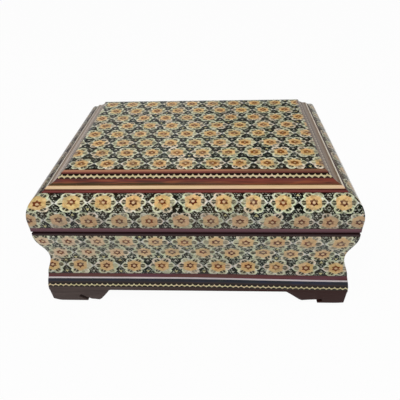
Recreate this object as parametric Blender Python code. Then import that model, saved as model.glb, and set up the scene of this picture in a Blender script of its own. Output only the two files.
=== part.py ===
"""An inlaid jewellery box: a bulged lid with a raised, framed top field on an ogee-sided base with bracket feet.

Units are metres, +Z is up, +X is the box's length and +Y is its hinged back. The long mouldings are drawn as
sections of (out, up) points: out runs outwards from the edge of the top field, the same on all four sides, and up
runs from the floor. Each section is run along its side and mitred at the corners, as the real boards are.
"""

import math

import bmesh
import bpy
from mathutils import Matrix, Vector

# Overall sizes in plan, over the lid's widest line
LID_LENGTH = 0.184
LID_DEPTH = 0.144

# From the edge of the flat top field out to the lid's widest line
EDGE_WIDTH = 0.0197

# The base's height, and the dark gap of the closed seam over it
BASE_HEIGHT = 0.05515
SEAM_GAP = 0.0005

# Working clearances: between glued neighbours, and inside the small brass hinges
FIT = 0.0003
HINGE_FIT = 0.00015
CUT_OVERRUN = 0.002

# The lid's stepped frame, from the top field outwards, each face as (run outwards, drop)
BEAD = (0.0021, 0.0021)
BRAID = (0.0023, 0.0016)
SLOPE = (0.0038, 0.0018)
PALE_LINE = (0.0017, 0.0015)
LIP = (0.0014, 0.0009)
FRAME_SOLE = 0.0009

# The lid's bulge: a quarter ellipse from under the lip down to the widest line, over an upright band
LIP_STEP_OUT = 0.0002
LIP_STEP_DOWN = 0.0004
BULGE_RISE = 0.0128
BAND_HEIGHT = 0.00825
BAND_LEAN = 0.0002
LID_RIM = 0.0030

# Sheets and boards, and the ledge of the walls' top that carries the frame
VENEER = 0.0012
RAIL_LEDGE = 0.0004
PANEL_FLANGE = 0.0032
FLOOR_THICKNESS = 0.0040
LINING = 0.0012
FLOOR_LINING = 0.0015
LINING_MARGIN = 0.0016

# The base's ogee wall: how far its rim, waist and skirt stand in from the lid's widest line
BASE_TOP_INSET = 0.0003
WAIST_INSET = 0.0047
SKIRT_INSET = 0.0019
WAIST_RISE = 0.0120
BASE_RIM = 0.0020
EDGE_ROUND = 0.0005

# The plinth's bands from the ogee down, each as (run outwards, drop)
RED_BAND = (0.0007, 0.0029)
WHITE_BAND = (0.0003, 0.0014)
NAVY_BAND = (0.0006, 0.0034)
LOWER_BRAID = (0.0001, 0.0030)
PLINTH_FOOT = 0.0013
PLINTH_SETBACK = 0.0038

# Bracket feet
FOOT_HEIGHT = 0.0095
FOOT_SETBACK = 0.0002
FOOT_TAPER = 0.0005
FOOT_THICKNESS = 0.0060
FOOT_PAD = 0.0195
FOOT_NOTCH_DEPTH = 0.0030
FOOT_NOTCH_LEAN = 0.0020
FOOT_NOTCH_MOUTH = 0.0015
FOOT_TAIL = 0.0285
FOOT_TAIL_LIFT = 0.0016
FOOT_REACH = 0.0390

# Brass butt hinges on the back seam
HINGE_SPACING = 0.100
LEAF_LENGTH = 0.018
LEAF_WIDTH = 0.0066
LEAF_THICKNESS = 0.0010
KNUCKLE_RADIUS = 0.0016
KNUCKLE_BORE = 0.0008
KNUCKLE_SHARES = (0.0, 0.3, 0.7, 1.0)
PIN_RADIUS = 0.00065
PIN_HEAD_RADIUS = 0.0011
PIN_HEAD = 0.0006

# The heel on each lid knuckle, which meets the base leaf's edge just past full opening
OPEN_ANGLE = math.radians(100)
HEEL_REACH = 0.0022
HEEL_THICKNESS = 0.0008
HEEL_STOP_ANGLE = math.radians(45)

# Countersunk hinge screws
SCREW_HEAD_RADIUS = 0.0013
SCREW_HEAD = 0.0007
SCREW_RADIUS = 0.0006
SCREW_LENGTH = 0.0050
SCREW_TIP = 0.0012
SCREW_SPACING = 0.0112
SCREW_INSET = 0.0030

# Facets
BULGE_STEPS = 9
OGEE_STEPS = 8
SKIRT_STEPS = 6
ROUND_STEPS = 16
FOOT_STEPS = 5
SHARP_ANGLE = math.radians(35)

# Worked-out sizes in plan
FIELD_HALF_LENGTH = LID_LENGTH / 2 - EDGE_WIDTH
FIELD_HALF_DEPTH = LID_DEPTH / 2 - EDGE_WIDTH
WALL_INNER = BEAD[0] + BRAID[0] + SLOPE[0] + PALE_LINE[0] - RAIL_LEDGE
FRAME_OUT = BEAD[0] + BRAID[0] + SLOPE[0] + PALE_LINE[0] + LIP[0]
BASE_TOP_OUT = EDGE_WIDTH - BASE_TOP_INSET
WAIST_OUT = EDGE_WIDTH - WAIST_INSET
SKIRT_OUT = EDGE_WIDTH - SKIRT_INSET
PLINTH_INNER = WALL_INNER + PLINTH_SETBACK
FOOT_OUT = SKIRT_OUT + RED_BAND[0] + WHITE_BAND[0] + NAVY_BAND[0] + LOWER_BRAID[0] - FOOT_SETBACK

# Worked-out heights, from the floor up
FLOOR_TOP = FOOT_HEIGHT + FLOOR_THICKNESS
SKIRT_HEIGHT = FOOT_HEIGHT + PLINTH_FOOT + LOWER_BRAID[1] + NAVY_BAND[1] + WHITE_BAND[1] + RED_BAND[1] + FIT
WAIST_HEIGHT = SKIRT_HEIGHT + WAIST_RISE
BASE_TOP = BASE_HEIGHT
SEAM_HEIGHT = BASE_TOP + SEAM_GAP / 2
LID_BOTTOM = BASE_TOP + SEAM_GAP
BULGE_HEIGHT = LID_BOTTOM + BAND_HEIGHT
BULGE_TOP = BULGE_HEIGHT + BULGE_RISE
BOX_HEIGHT = BULGE_TOP + LIP_STEP_DOWN + LIP[1] + PALE_LINE[1] + SLOPE[1] + BRAID[1] + BEAD[1]
FRAME_BOTTOM = BULGE_TOP + LIP_STEP_DOWN - FRAME_SOLE
PANEL_BOTTOM = FRAME_BOTTOM - FIT - PANEL_FLANGE

# Worked out for the hinges
HINGE_AXIS_OUT = EDGE_WIDTH + FIT + KNUCKLE_RADIUS
HINGE_AXIS_Y = FIELD_HALF_DEPTH + HINGE_AXIS_OUT
HEEL_REST_ANGLE = math.pi - HEEL_STOP_ANGLE - OPEN_ANGLE
HEEL_OUT = HEEL_REACH * math.cos(HEEL_REST_ANGLE) + HEEL_THICKNESS / 2 * math.sin(HEEL_REST_ANGLE)
HINGE_OVERHANG = HINGE_AXIS_OUT + HEEL_OUT - EDGE_WIDTH

# Each side, a quarter turn about +Z from the one before: half its length of field edge, and its reach from the centre
SIDES = {
    "front": (FIELD_HALF_LENGTH, FIELD_HALF_DEPTH),
    "right": (FIELD_HALF_DEPTH, FIELD_HALF_LENGTH),
    "back": (FIELD_HALF_LENGTH, FIELD_HALF_DEPTH),
    "left": (FIELD_HALF_DEPTH, FIELD_HALF_LENGTH),
}
HINGES = {"left": -HINGE_SPACING / 2, "right": HINGE_SPACING / 2}


def clear_scene():
    for obj in list(bpy.data.objects):
        bpy.data.objects.remove(obj, do_unlink=True)


def finish(name, colour, roughness, metallic=0.0):
    """A plain Principled material."""
    material = bpy.data.materials.new(name)
    material.use_nodes = True
    shader = material.node_tree.nodes["Principled BSDF"]
    shader.inputs["Base Color"].default_value = (*colour, 1.0)
    shader.inputs["Roughness"].default_value = roughness
    shader.inputs["Metallic"].default_value = metallic
    return material


def make_finishes():
    return {
        "khatam_veneer": finish("khatam_veneer", (0.42, 0.33, 0.20), 0.25),
        "moulding_wood": finish("moulding_wood", (0.17, 0.06, 0.04), 0.35),
        "pale_line": finish("pale_line", (0.70, 0.50, 0.28), 0.35),
        "rail_wood": finish("rail_wood", (0.16, 0.05, 0.06), 0.40),
        "carcass_wood": finish("carcass_wood", (0.20, 0.09, 0.06), 0.50),
        "plinth_bands": finish("plinth_bands", (0.07, 0.06, 0.09), 0.35),
        "foot_wood": finish("foot_wood", (0.06, 0.035, 0.03), 0.60),
        "velvet": finish("velvet", (0.25, 0.01, 0.03), 0.95),
        "brass": finish("brass", (0.72, 0.52, 0.20), 0.30, 1.0),
    }


def make_frames():
    """The base's empty, set so that the knuckles count in the centred footprint, and the lid's on its hinge axis."""
    base = bpy.data.objects.new("base_frame", None)
    base.location = (0.0, -HINGE_OVERHANG / 2, 0.0)
    lid = bpy.data.objects.new("lid_hinge_axis", None)
    lid.parent = base
    lid.location = (0.0, HINGE_AXIS_Y, SEAM_HEIGHT)
    for empty in (base, lid):
        bpy.context.collection.objects.link(empty)
    return base, lid


def attach(obj, frame):
    """Parents a piece, modelled about the box's centre, to the base's empty or the lid's."""
    obj.parent = frame
    if frame.parent:
        obj.matrix_parent_inverse = Matrix.Translation(-Vector(frame.location))


def add_object(name, mesh_tool, material, frame=None):
    """Turns a bmesh into a named object with outward faces and smooth rounds."""
    bmesh.ops.recalc_face_normals(mesh_tool, faces=mesh_tool.faces)
    mesh = bpy.data.meshes.new(name)
    mesh_tool.to_mesh(mesh)
    mesh_tool.free()
    mesh.shade_smooth()
    mesh.set_sharp_from_angle(angle=SHARP_ANGLE)
    obj = bpy.data.objects.new(name, mesh)
    if material:
        obj.data.materials.append(material)
    bpy.context.collection.objects.link(obj)
    if frame:
        attach(obj, frame)
    return obj


def hide_helper(obj):
    obj.hide_render = True
    obj.display_type = "WIRE"


def combine(obj, helper, operation):
    modifier = obj.modifiers.new(helper.name, "BOOLEAN")
    modifier.operation = operation
    modifier.object = helper
    modifier.solver = "EXACT"


def bridge(mesh_tool, first, second):
    """Joins two loops of points, one for one, into a closed solid."""
    loops = [[mesh_tool.verts.new(point) for point in loop] for loop in (first, second)]
    mesh_tool.faces.new(loops[0])
    mesh_tool.faces.new(reversed(loops[1]))
    count = len(first)
    for i in range(count):
        j = (i + 1) % count
        mesh_tool.faces.new((loops[0][j], loops[0][i], loops[1][i], loops[1][j]))


def add_block(mesh_tool, low, high):
    """A box between two corners."""
    low, high = Vector(low), Vector(high)
    corners = [(low.x, low.y), (high.x, low.y), (high.x, high.y), (low.x, high.y)]
    bridge(mesh_tool, [(x, y, low.z) for x, y in corners], [(x, y, high.z) for x, y in corners])


def shifted(points, distance):
    """An open (out, up) line moved to its right by a distance, as a veneer's back is from its face."""
    moved = []
    for i, point in enumerate(points):
        before = Vector(points[max(i - 1, 0)])
        after = Vector(points[min(i + 1, len(points) - 1)])
        along = (after - before).normalized()
        moved.append((point[0] + along.y * distance, point[1] - along.x * distance))
    return moved


def turn_to(obj, side):
    """Turns a piece modelled at the front round to its own side."""
    obj.rotation_euler = (0.0, 0.0, list(SIDES).index(side) * math.pi / 2)
    return obj


def mitred(name, side, section, material, frame):
    """A section run along one side of the box, both ends cut to the corner's mitre."""
    half, reach = SIDES[side]
    ends = []
    for sign in (-1, 1):
        ends.append([(sign * (half + out - FIT / 2), -(reach + out), up) for out, up in section])
    tool = bmesh.new()
    bridge(tool, *ends)
    return turn_to(add_object(f"{name}_{side}", tool, material, frame), side)


def frame_line():
    """The lid frame's stepped slope, from the top field's edge down to the shoulder."""
    line = [(0.0, BOX_HEIGHT)]
    for run, drop in (BEAD, BRAID, SLOPE, PALE_LINE, LIP):
        line.append((line[-1][0] + run, line[-1][1] - drop))
    return line


def bulge_line(depth=0.0):
    """The veneered face of the lid's edge, or a line that far behind it, from the shoulder down to the rim."""
    start = FRAME_OUT + LIP_STEP_OUT
    reach = EDGE_WIDTH - start - depth
    rise = BULGE_RISE - depth
    line = []
    for step in range(BULGE_STEPS + 1):
        angle = math.pi / 2 * step / BULGE_STEPS
        line.append((start + reach * math.sin(angle), BULGE_HEIGHT + rise * math.cos(angle)))
    line.append((EDGE_WIDTH - BAND_LEAN - depth, LID_BOTTOM + LID_RIM + FIT))
    return line


def half_wave(share):
    """Rises from 0 to 1 with level ends."""
    return (1 - math.cos(math.pi * share)) / 2


def ogee_line():
    """The veneered face of the base's wall: out at the rim, in at the waist, and out again to the plinth."""
    top = BASE_TOP - BASE_RIM - FIT
    line = []
    for step in range(OGEE_STEPS + 1):
        share = step / OGEE_STEPS
        out = BASE_TOP_OUT + (WAIST_OUT - BASE_TOP_OUT) * half_wave(share)
        line.append((out, top + (WAIST_HEIGHT - top) * share))
    for step in range(1, SKIRT_STEPS + 1):
        share = step / SKIRT_STEPS
        out = WAIST_OUT + (SKIRT_OUT - WAIST_OUT) * half_wave(share)
        line.append((out, WAIST_HEIGHT + (SKIRT_HEIGHT - WAIST_HEIGHT) * share))
    return line


def make_lid_top(finishes, frame):
    """The fielded panel, the khatam sheet on its field and the velvet under it."""
    inset = FIT / 2
    field = (FIELD_HALF_LENGTH - inset, FIELD_HALF_DEPTH - inset)
    flange_out = WALL_INNER - FIT
    flange = (FIELD_HALF_LENGTH + flange_out, FIELD_HALF_DEPTH + flange_out)
    field_top = BOX_HEIGHT - VENEER - FIT
    flange_top = PANEL_BOTTOM + PANEL_FLANGE

    tool = bmesh.new()
    corners = [(-1, -1), (1, -1), (1, 1), (-1, 1)]
    rings = []
    for half, up in ((flange, PANEL_BOTTOM), (flange, flange_top), (field, flange_top), (field, field_top)):
        rings.append([tool.verts.new((x * half[0], y * half[1], up)) for x, y in corners])
    tool.faces.new(reversed(rings[0]))
    tool.faces.new(rings[-1])
    for lower, upper in zip(rings, rings[1:]):
        for i in range(len(corners)):
            j = (i + 1) % len(corners)
            tool.faces.new((lower[i], lower[j], upper[j], upper[i]))
    add_object("lid_panel", tool, finishes["carcass_wood"], frame)

    tool = bmesh.new()
    add_block(tool, (-field[0], -field[1], BOX_HEIGHT - VENEER), (field[0], field[1], BOX_HEIGHT))
    add_object("lid_field_veneer", tool, finishes["khatam_veneer"], frame)

    tool = bmesh.new()
    lining_top = PANEL_BOTTOM - FIT
    add_block(
        tool,
        (-flange[0], -flange[1], lining_top - LINING),
        (flange[0], flange[1], lining_top),
    )
    add_object("lid_lining", tool, finishes["velvet"], frame)


def make_lid_side(side, finishes, frame):
    """One side's frame moulding, pale line, bulged rail and veneer."""
    line = frame_line()
    slope_end, line_end = line[3], line[4]
    moulding = [(line[0][0] + FIT / 2, line[0][1])] + line[1:4]
    moulding += [(slope_end[0], FRAME_BOTTOM), (FIT / 2, FRAME_BOTTOM)]
    mitred("lid_moulding", side, moulding, finishes["moulding_wood"], frame)

    pale_start = slope_end[0] + FIT
    pale_fall = PALE_LINE[1] / PALE_LINE[0]
    pale = [
        (pale_start, slope_end[1] - FIT * pale_fall),
        line_end,
        (line_end[0], FRAME_BOTTOM),
        (pale_start, FRAME_BOTTOM),
    ]
    mitred("lid_line", side, pale, finishes["pale_line"], frame)

    face = bulge_line()
    bed = bulge_line(VENEER + FIT)
    lip_fall = LIP[1] / LIP[0]
    lip_start = (line_end[0] + FIT, line_end[1] - FIT * lip_fall)
    lip_end = (face[0][0] - FIT, line[-1][1])
    rail = [(WALL_INNER, LID_BOTTOM), (WALL_INNER, FRAME_BOTTOM - FIT), (lip_start[0], FRAME_BOTTOM - FIT)]
    rail += [lip_start, lip_end, (lip_end[0], bed[0][1])]
    rail += bed[1:-1]
    rim_top = LID_BOTTOM + LID_RIM
    rail += [
        (bed[-1][0], rim_top),
        (EDGE_WIDTH - BAND_LEAN, rim_top),
        (EDGE_WIDTH - BAND_LEAN, LID_BOTTOM + EDGE_ROUND),
        (EDGE_WIDTH - BAND_LEAN - EDGE_ROUND, LID_BOTTOM),
    ]
    mitred("lid_veneer", side, face + bulge_line(VENEER)[::-1], finishes["khatam_veneer"], frame)
    return mitred("lid_rail", side, rail, finishes["rail_wood"], frame)


def make_base_side(side, finishes, frame):
    """One side's ogee wall, veneer, banded plinth and velvet lining."""
    face = ogee_line()
    bed = shifted(face, VENEER + FIT)
    rim_bottom = BASE_TOP - BASE_RIM
    plinth_top = face[-1][1] - FIT
    wall_foot_out = PLINTH_INNER - FIT
    wall = [
        (WALL_INNER, FOOT_HEIGHT),
        (WALL_INNER, BASE_TOP),
        (BASE_TOP_OUT - EDGE_ROUND, BASE_TOP),
        (BASE_TOP_OUT, BASE_TOP - EDGE_ROUND),
        (BASE_TOP_OUT, rim_bottom),
        (bed[0][0], rim_bottom),
    ]
    wall += bed[1:-1]
    wall += [(bed[-1][0], plinth_top + FIT), (wall_foot_out, plinth_top + FIT), (wall_foot_out, FOOT_HEIGHT)]
    mitred("base_veneer", side, face + shifted(face, VENEER)[::-1], finishes["khatam_veneer"], frame)

    bands = [(SKIRT_OUT, plinth_top)]
    for run, drop in (RED_BAND, WHITE_BAND, NAVY_BAND, LOWER_BRAID):
        bands.append((bands[-1][0] + run, bands[-1][1] - drop))
    plinth = [(PLINTH_INNER, plinth_top)] + bands
    plinth += [(bands[-1][0], FOOT_HEIGHT), (PLINTH_INNER, FOOT_HEIGHT)]
    mitred("base_plinth", side, plinth, finishes["plinth_bands"], frame)

    lining_out = WALL_INNER - FIT
    lining_foot = FLOOR_TOP + FIT + FLOOR_LINING + FIT
    lining_top = BASE_TOP - LINING_MARGIN
    lining = [
        (lining_out, lining_foot),
        (lining_out, lining_top - LINING / 2),
        (lining_out - LINING / 2, lining_top),
        (lining_out - LINING, lining_top - LINING / 2),
        (lining_out - LINING, lining_foot),
    ]
    mitred("base_lining", side, lining, finishes["velvet"], frame)
    return mitred("base_wall", side, wall, finishes["carcass_wood"], frame)


def make_floor(finishes, frame):
    out = WALL_INNER - FIT
    half = (FIELD_HALF_LENGTH + out, FIELD_HALF_DEPTH + out)
    tool = bmesh.new()
    add_block(tool, (-half[0], -half[1], FOOT_HEIGHT), (half[0], half[1], FLOOR_TOP))
    add_object("base_floor", tool, finishes["carcass_wood"], frame)

    tool = bmesh.new()
    bottom = FLOOR_TOP + FIT
    add_block(tool, (-half[0], -half[1], bottom), (half[0], half[1], bottom + FLOOR_LINING))
    add_object("base_floor_lining", tool, finishes["velvet"], frame)


def foot_outline():
    """A bracket's face as (distance from the corner, up): pad, notch, tail and the sweep up to the plinth."""
    top = FOOT_HEIGHT - FIT
    outline = [
        (0.0, 0.0),
        (FOOT_PAD, 0.0),
        (FOOT_PAD - FOOT_NOTCH_LEAN, FOOT_NOTCH_DEPTH),
        (FOOT_PAD + FOOT_NOTCH_MOUTH, FOOT_TAIL_LIFT),
    ]
    for step in range(FOOT_STEPS + 1):
        share = step / FOOT_STEPS
        along = FOOT_TAIL + (FOOT_REACH - FOOT_TAIL) * share
        outline.append((along, FOOT_TAIL_LIFT + (top - FOOT_TAIL_LIFT) * (1 - (1 - share) ** 2)))
    return outline + [(0.0, top)]


def make_bracket(name, side, sign, finishes, frame):
    """Half of a bracket foot: one shaped board under one side of the plinth, mitred at the corner."""
    half, reach = SIDES[side]
    top = FOOT_HEIGHT - FIT
    loops = []
    for depth in (0.0, FOOT_THICKNESS):
        loop = []
        for along, up in foot_outline():
            out = FOOT_OUT - depth
            if depth == 0.0:
                out -= FOOT_TAPER * (1 - up / top)
            end = half + out - FIT / 2 if along == 0.0 else half + FOOT_OUT - along
            loop.append((sign * end, -(reach + out), up))
        loops.append(loop)
    tool = bmesh.new()
    bridge(tool, *loops)
    turn_to(add_object(name, tool, finishes["foot_wood"], frame), side)


def make_feet(finishes, frame):
    """Four corners, each of two mitred brackets: one under the front or back, one under the left or right side."""
    for end, end_sign in (("left", -1), ("right", 1)):
        make_bracket(f"foot_front_{end}_long", "front", end_sign, finishes, frame)
        make_bracket(f"foot_front_{end}_short", end, -end_sign, finishes, frame)
        make_bracket(f"foot_back_{end}_long", "back", -end_sign, finishes, frame)
        make_bracket(f"foot_back_{end}_short", end, end_sign, finishes, frame)


def add_turned(tool, profile, centre, direction):
    """A solid of revolution about an upright axis from (radius, height) points, its height run up or down."""
    rings = []
    for radius, height in profile:
        ring = []
        for step in range(ROUND_STEPS):
            angle = 2 * math.pi * step / ROUND_STEPS
            x, y = radius * math.cos(angle), radius * math.sin(angle)
            ring.append(tool.verts.new((centre[0] + x, centre[1] + y, centre[2] + direction * height)))
        rings.append(ring)
    tool.faces.new(rings[0])
    tool.faces.new(reversed(rings[-1]))
    for lower, upper in zip(rings, rings[1:]):
        for i in range(ROUND_STEPS):
            j = (i + 1) % ROUND_STEPS
            tool.faces.new((lower[j], lower[i], upper[i], upper[j]))


def circle_along_x(x, radius):
    points = []
    for step in range(ROUND_STEPS):
        angle = 2 * math.pi * (step + 1 / 2) / ROUND_STEPS
        points.append((x, HINGE_AXIS_Y + radius * math.cos(angle), SEAM_HEIGHT + radius * math.sin(angle)))
    return points


def knuckle_spans(which, centre):
    """Where a leaf's knuckles run along the pin: the base leaf holds the outer two, the lid leaf the middle one."""
    edges = [centre + LEAF_LENGTH * (share - 1 / 2) for share in KNUCKLE_SHARES]
    if which == "lid":
        return [(edges[1] + HINGE_FIT, edges[2] - HINGE_FIT)]
    return [(edges[0], edges[1] - HINGE_FIT), (edges[2] + HINGE_FIT, edges[3])]


def screw_places(centre):
    """Where the two screws of a leaf stand, in plan."""
    y = HINGE_AXIS_Y - KNUCKLE_RADIUS - FIT - SCREW_INSET
    return [(centre - SCREW_SPACING / 2, y), (centre + SCREW_SPACING / 2, y)]


def screw_profile(grow):
    """A countersunk screw from its head down, or with grow the hole that clears it."""
    shank = SCREW_RADIUS + grow
    return [
        (SCREW_HEAD_RADIUS + grow, -grow),
        (SCREW_HEAD_RADIUS + grow, 0.0),
        (shank, SCREW_HEAD),
        (shank, SCREW_LENGTH - SCREW_TIP + grow),
        (shank / 4, SCREW_LENGTH + grow),
    ]


def add_heel(tool, start, end):
    """A rib out of the lid's knuckle, pointing back and down while the lid is shut."""
    away = Vector((0.0, math.cos(HEEL_REST_ANGLE), -math.sin(HEEL_REST_ANGLE)))
    across = Vector((0.0, math.sin(HEEL_REST_ANGLE), math.cos(HEEL_REST_ANGLE))) * (HEEL_THICKNESS / 2)
    root = away * (KNUCKLE_RADIUS + KNUCKLE_BORE) / 2
    tip = away * HEEL_REACH
    ends = []
    for x in (start, end):
        axis = Vector((x, HINGE_AXIS_Y, SEAM_HEIGHT))
        ends.append([axis + root - across, axis + tip - across, axis + tip + across, axis + root + across])
    bridge(tool, *ends)


def make_leaf(name, which, centre, finishes, frame):
    """A hinge leaf: a plate let into the rim, tabs out to its knuckles, and two countersunk holes."""
    sign = 1 if which == "lid" else -1
    face = SEAM_HEIGHT + sign * HINGE_FIT
    back = face + sign * LEAF_THICKNESS
    edge_y = HINGE_AXIS_Y - KNUCKLE_RADIUS - FIT
    tab_y = HINGE_AXIS_Y - (KNUCKLE_RADIUS + KNUCKLE_BORE) / 2
    spans = knuckle_spans(which, centre)

    outline = [(centre + LEAF_LENGTH / 2, edge_y - LEAF_WIDTH), (centre - LEAF_LENGTH / 2, edge_y - LEAF_WIDTH)]
    if spans[0][0] > centre - LEAF_LENGTH / 2:
        outline.append((centre - LEAF_LENGTH / 2, edge_y))
    for start, end in spans:
        outline += [(start, edge_y), (start, tab_y), (end, tab_y), (end, edge_y)]
    if spans[-1][1] < centre + LEAF_LENGTH / 2:
        outline.append((centre + LEAF_LENGTH / 2, edge_y))
    distinct = [point for i, point in enumerate(outline) if point != outline[i - 1]]
    tool = bmesh.new()
    bridge(tool, [(x, y, face) for x, y in distinct], [(x, y, back) for x, y in distinct])
    leaf = add_object(name, tool, finishes["brass"], frame)

    tool = bmesh.new()
    for start, end in spans:
        bridge(tool, circle_along_x(start, KNUCKLE_RADIUS), circle_along_x(end, KNUCKLE_RADIUS))
    knuckles = add_object(f"{name}_knuckles", tool, None, frame)

    tool = bmesh.new()
    reach = LEAF_LENGTH / 2 + CUT_OVERRUN
    bridge(tool, circle_along_x(centre - reach, KNUCKLE_BORE), circle_along_x(centre + reach, KNUCKLE_BORE))
    bore = add_object(f"{name}_bore", tool, None, frame)

    tool = bmesh.new()
    for x, y in screw_places(centre):
        add_turned(tool, screw_profile(HINGE_FIT), (x, y, face), sign)
    holes = add_object(f"{name}_holes", tool, None, frame)

    combine(leaf, knuckles, "UNION")
    if which == "lid":
        tool = bmesh.new()
        add_heel(tool, *spans[0])
        heel = add_object(f"{name}_heel", tool, None, frame)
        combine(leaf, heel, "UNION")
        hide_helper(heel)
    combine(leaf, bore, "DIFFERENCE")
    combine(leaf, holes, "DIFFERENCE")
    for helper in (knuckles, bore, holes):
        hide_helper(helper)


def make_pin(name, centre, finishes, frame):
    """The hinge pin, with a peened head outside each end knuckle."""
    shank_half = LEAF_LENGTH / 2 + HINGE_FIT
    head_half = shank_half + PIN_HEAD
    stations = [
        (-head_half, PIN_RADIUS),
        (-head_half + PIN_HEAD / 2, PIN_HEAD_RADIUS),
        (-shank_half, PIN_HEAD_RADIUS),
        (-shank_half, PIN_RADIUS),
        (shank_half, PIN_RADIUS),
        (shank_half, PIN_HEAD_RADIUS),
        (head_half - PIN_HEAD / 2, PIN_HEAD_RADIUS),
        (head_half, PIN_RADIUS),
    ]
    tool = bmesh.new()
    rings = [[tool.verts.new(point) for point in circle_along_x(centre + x, radius)] for x, radius in stations]
    tool.faces.new(rings[0])
    tool.faces.new(reversed(rings[-1]))
    for first, second in zip(rings, rings[1:]):
        for i in range(ROUND_STEPS):
            j = (i + 1) % ROUND_STEPS
            tool.faces.new((first[j], first[i], second[i], second[j]))
    add_object(name, tool, finishes["brass"], frame)


def make_hinge(side, finishes, base, lid):
    centre = HINGES[side]
    for which, frame, sign in (("lid", lid, 1), ("base", base, -1)):
        make_leaf(f"hinge_{side}_{which}_leaf", which, centre, finishes, frame)
        for place, (x, y) in zip(("a", "b"), screw_places(centre)):
            tool = bmesh.new()
            add_turned(tool, screw_profile(0.0)[1:], (x, y, SEAM_HEIGHT + sign * HINGE_FIT), sign)
            add_object(f"hinge_{side}_{which}_screw_{place}", tool, finishes["brass"], frame)
    make_pin(f"hinge_{side}_pin", centre, finishes, base)


def cut_hinge_seats(rim, which, frame):
    """Mortises for the leaves, and pilot holes for their screws, in the back rail or wall."""
    sign = 1 if which == "lid" else -1
    open_z = SEAM_HEIGHT - sign * CUT_OVERRUN
    seat_z = SEAM_HEIGHT + sign * (HINGE_FIT + LEAF_THICKNESS + FIT)
    inner_y = HINGE_AXIS_Y - KNUCKLE_RADIUS - FIT - LEAF_WIDTH - FIT
    seats, pilots = bmesh.new(), bmesh.new()
    for centre in HINGES.values():
        half = LEAF_LENGTH / 2 + FIT
        low_z, high_z = min(open_z, seat_z), max(open_z, seat_z)
        add_block(seats, (centre - half, inner_y, low_z), (centre + half, HINGE_AXIS_Y + CUT_OVERRUN, high_z))
        pilot_radius = SCREW_RADIUS + FIT
        for x, y in screw_places(centre):
            pilot = [(pilot_radius, 0.0), (pilot_radius, SCREW_LENGTH + HINGE_FIT + FIT)]
            add_turned(pilots, pilot, (x, y, SEAM_HEIGHT), sign)
    for label, tool in (("seats", seats), ("pilots", pilots)):
        cutter = add_object(f"{rim.name}_{label}", tool, None, frame)
        combine(rim, cutter, "DIFFERENCE")
        hide_helper(cutter)


def main():
    clear_scene()
    finishes = make_finishes()
    base, lid = make_frames()
    make_lid_top(finishes, lid)
    make_floor(finishes, base)
    for side in SIDES:
        lid_rail = make_lid_side(side, finishes, lid)
        base_wall = make_base_side(side, finishes, base)
        if side == "back":
            cut_hinge_seats(lid_rail, "lid", lid)
            cut_hinge_seats(base_wall, "base", base)
    make_feet(finishes, base)
    for side in HINGES:
        make_hinge(side, finishes, base, lid)


main()
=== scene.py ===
"""Looks of the inlaid jewellery box: lacquered khatam inlay, banded mouldings, dark feet, velvet and brass.

Positions are millimetres in (along, out, up) for each side, as in the part: out runs outwards from the edge
of the top field, up runs from the floor, and along runs to the right of someone who faces that side.
"""

import math
import random
from functools import partialmethod
from itertools import product
from types import SimpleNamespace

import bmesh
import bpy
from mathutils import Matrix, Vector, noise


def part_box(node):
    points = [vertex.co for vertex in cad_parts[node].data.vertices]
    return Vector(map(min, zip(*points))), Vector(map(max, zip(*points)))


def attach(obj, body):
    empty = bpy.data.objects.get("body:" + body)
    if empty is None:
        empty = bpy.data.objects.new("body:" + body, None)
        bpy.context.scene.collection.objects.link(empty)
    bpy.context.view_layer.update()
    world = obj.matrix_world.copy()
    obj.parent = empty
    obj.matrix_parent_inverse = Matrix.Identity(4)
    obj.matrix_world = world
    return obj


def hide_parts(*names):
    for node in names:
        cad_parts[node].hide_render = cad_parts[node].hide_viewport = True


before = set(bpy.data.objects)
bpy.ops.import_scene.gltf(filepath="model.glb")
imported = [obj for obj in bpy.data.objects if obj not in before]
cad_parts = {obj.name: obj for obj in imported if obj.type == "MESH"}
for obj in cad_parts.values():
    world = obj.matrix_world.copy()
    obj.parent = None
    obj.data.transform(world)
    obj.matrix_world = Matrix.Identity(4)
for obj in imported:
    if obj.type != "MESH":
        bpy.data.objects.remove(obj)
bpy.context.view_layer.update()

MM = 0.001

# The part's own sizes, in millimetres
FIELD_HALF_LENGTH = 72.3
FIELD_HALF_DEPTH = 52.3
BOX_SHIFT = -1.9658
EDGE_WIDTH = 19.7
FRAME_LINE = [(0.0, 85.0), (2.1, 82.9), (4.4, 81.3), (8.2, 79.5), (9.9, 78.0)]
FRAME_BOTTOM = 76.2
BULGE_START = 11.5
BULGE_HEIGHT = 63.9
BULGE_RISE = 12.8
RIM_TOP = 58.65
VENEER = 1.2
BASE_VENEER_TOP = 53.15
BASE_TOP_OUT = 19.4
WAIST_OUT = 15.0
WAIST_HEIGHT = 33.8
SKIRT_OUT = 17.8
SKIRT_HEIGHT = 21.5
PLINTH_INNER = 13.3
PLINTH_LINE = [(18.5, 18.6), (18.8, 17.2), (19.4, 13.8), (19.5, 10.8), (19.5, 10.25)]
PLINTH_FOOT = [(18.3, 9.5), (PLINTH_INNER, 9.5)]
FOOT_OUT = 19.3
FOOT_THICKNESS = 6.0
FOOT_TAPER = 0.5
FOOT_TOP = 9.47
FOOT_SHOULDER = [(FOOT_OUT, 10.08), (18.3, FOOT_TOP)]
FOOT_MITRE = 7.0
KERF_END = 1.0
LINING_OUTER = 9.2
LINING_INNER = 8.0

# Each side's half length of field edge and reach from the centre, a quarter turn from the one before
LONG_SIDE = (FIELD_HALF_LENGTH, FIELD_HALF_DEPTH)
SHORT_SIDE = (FIELD_HALF_DEPTH, FIELD_HALF_LENGTH)
SIDES = {"front": LONG_SIDE, "right": SHORT_SIDE, "back": LONG_SIDE, "left": SHORT_SIDE}
# The place across the box of a short side's bands
SHORT_SIDE_X = FIELD_HALF_LENGTH + 19.0

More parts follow.
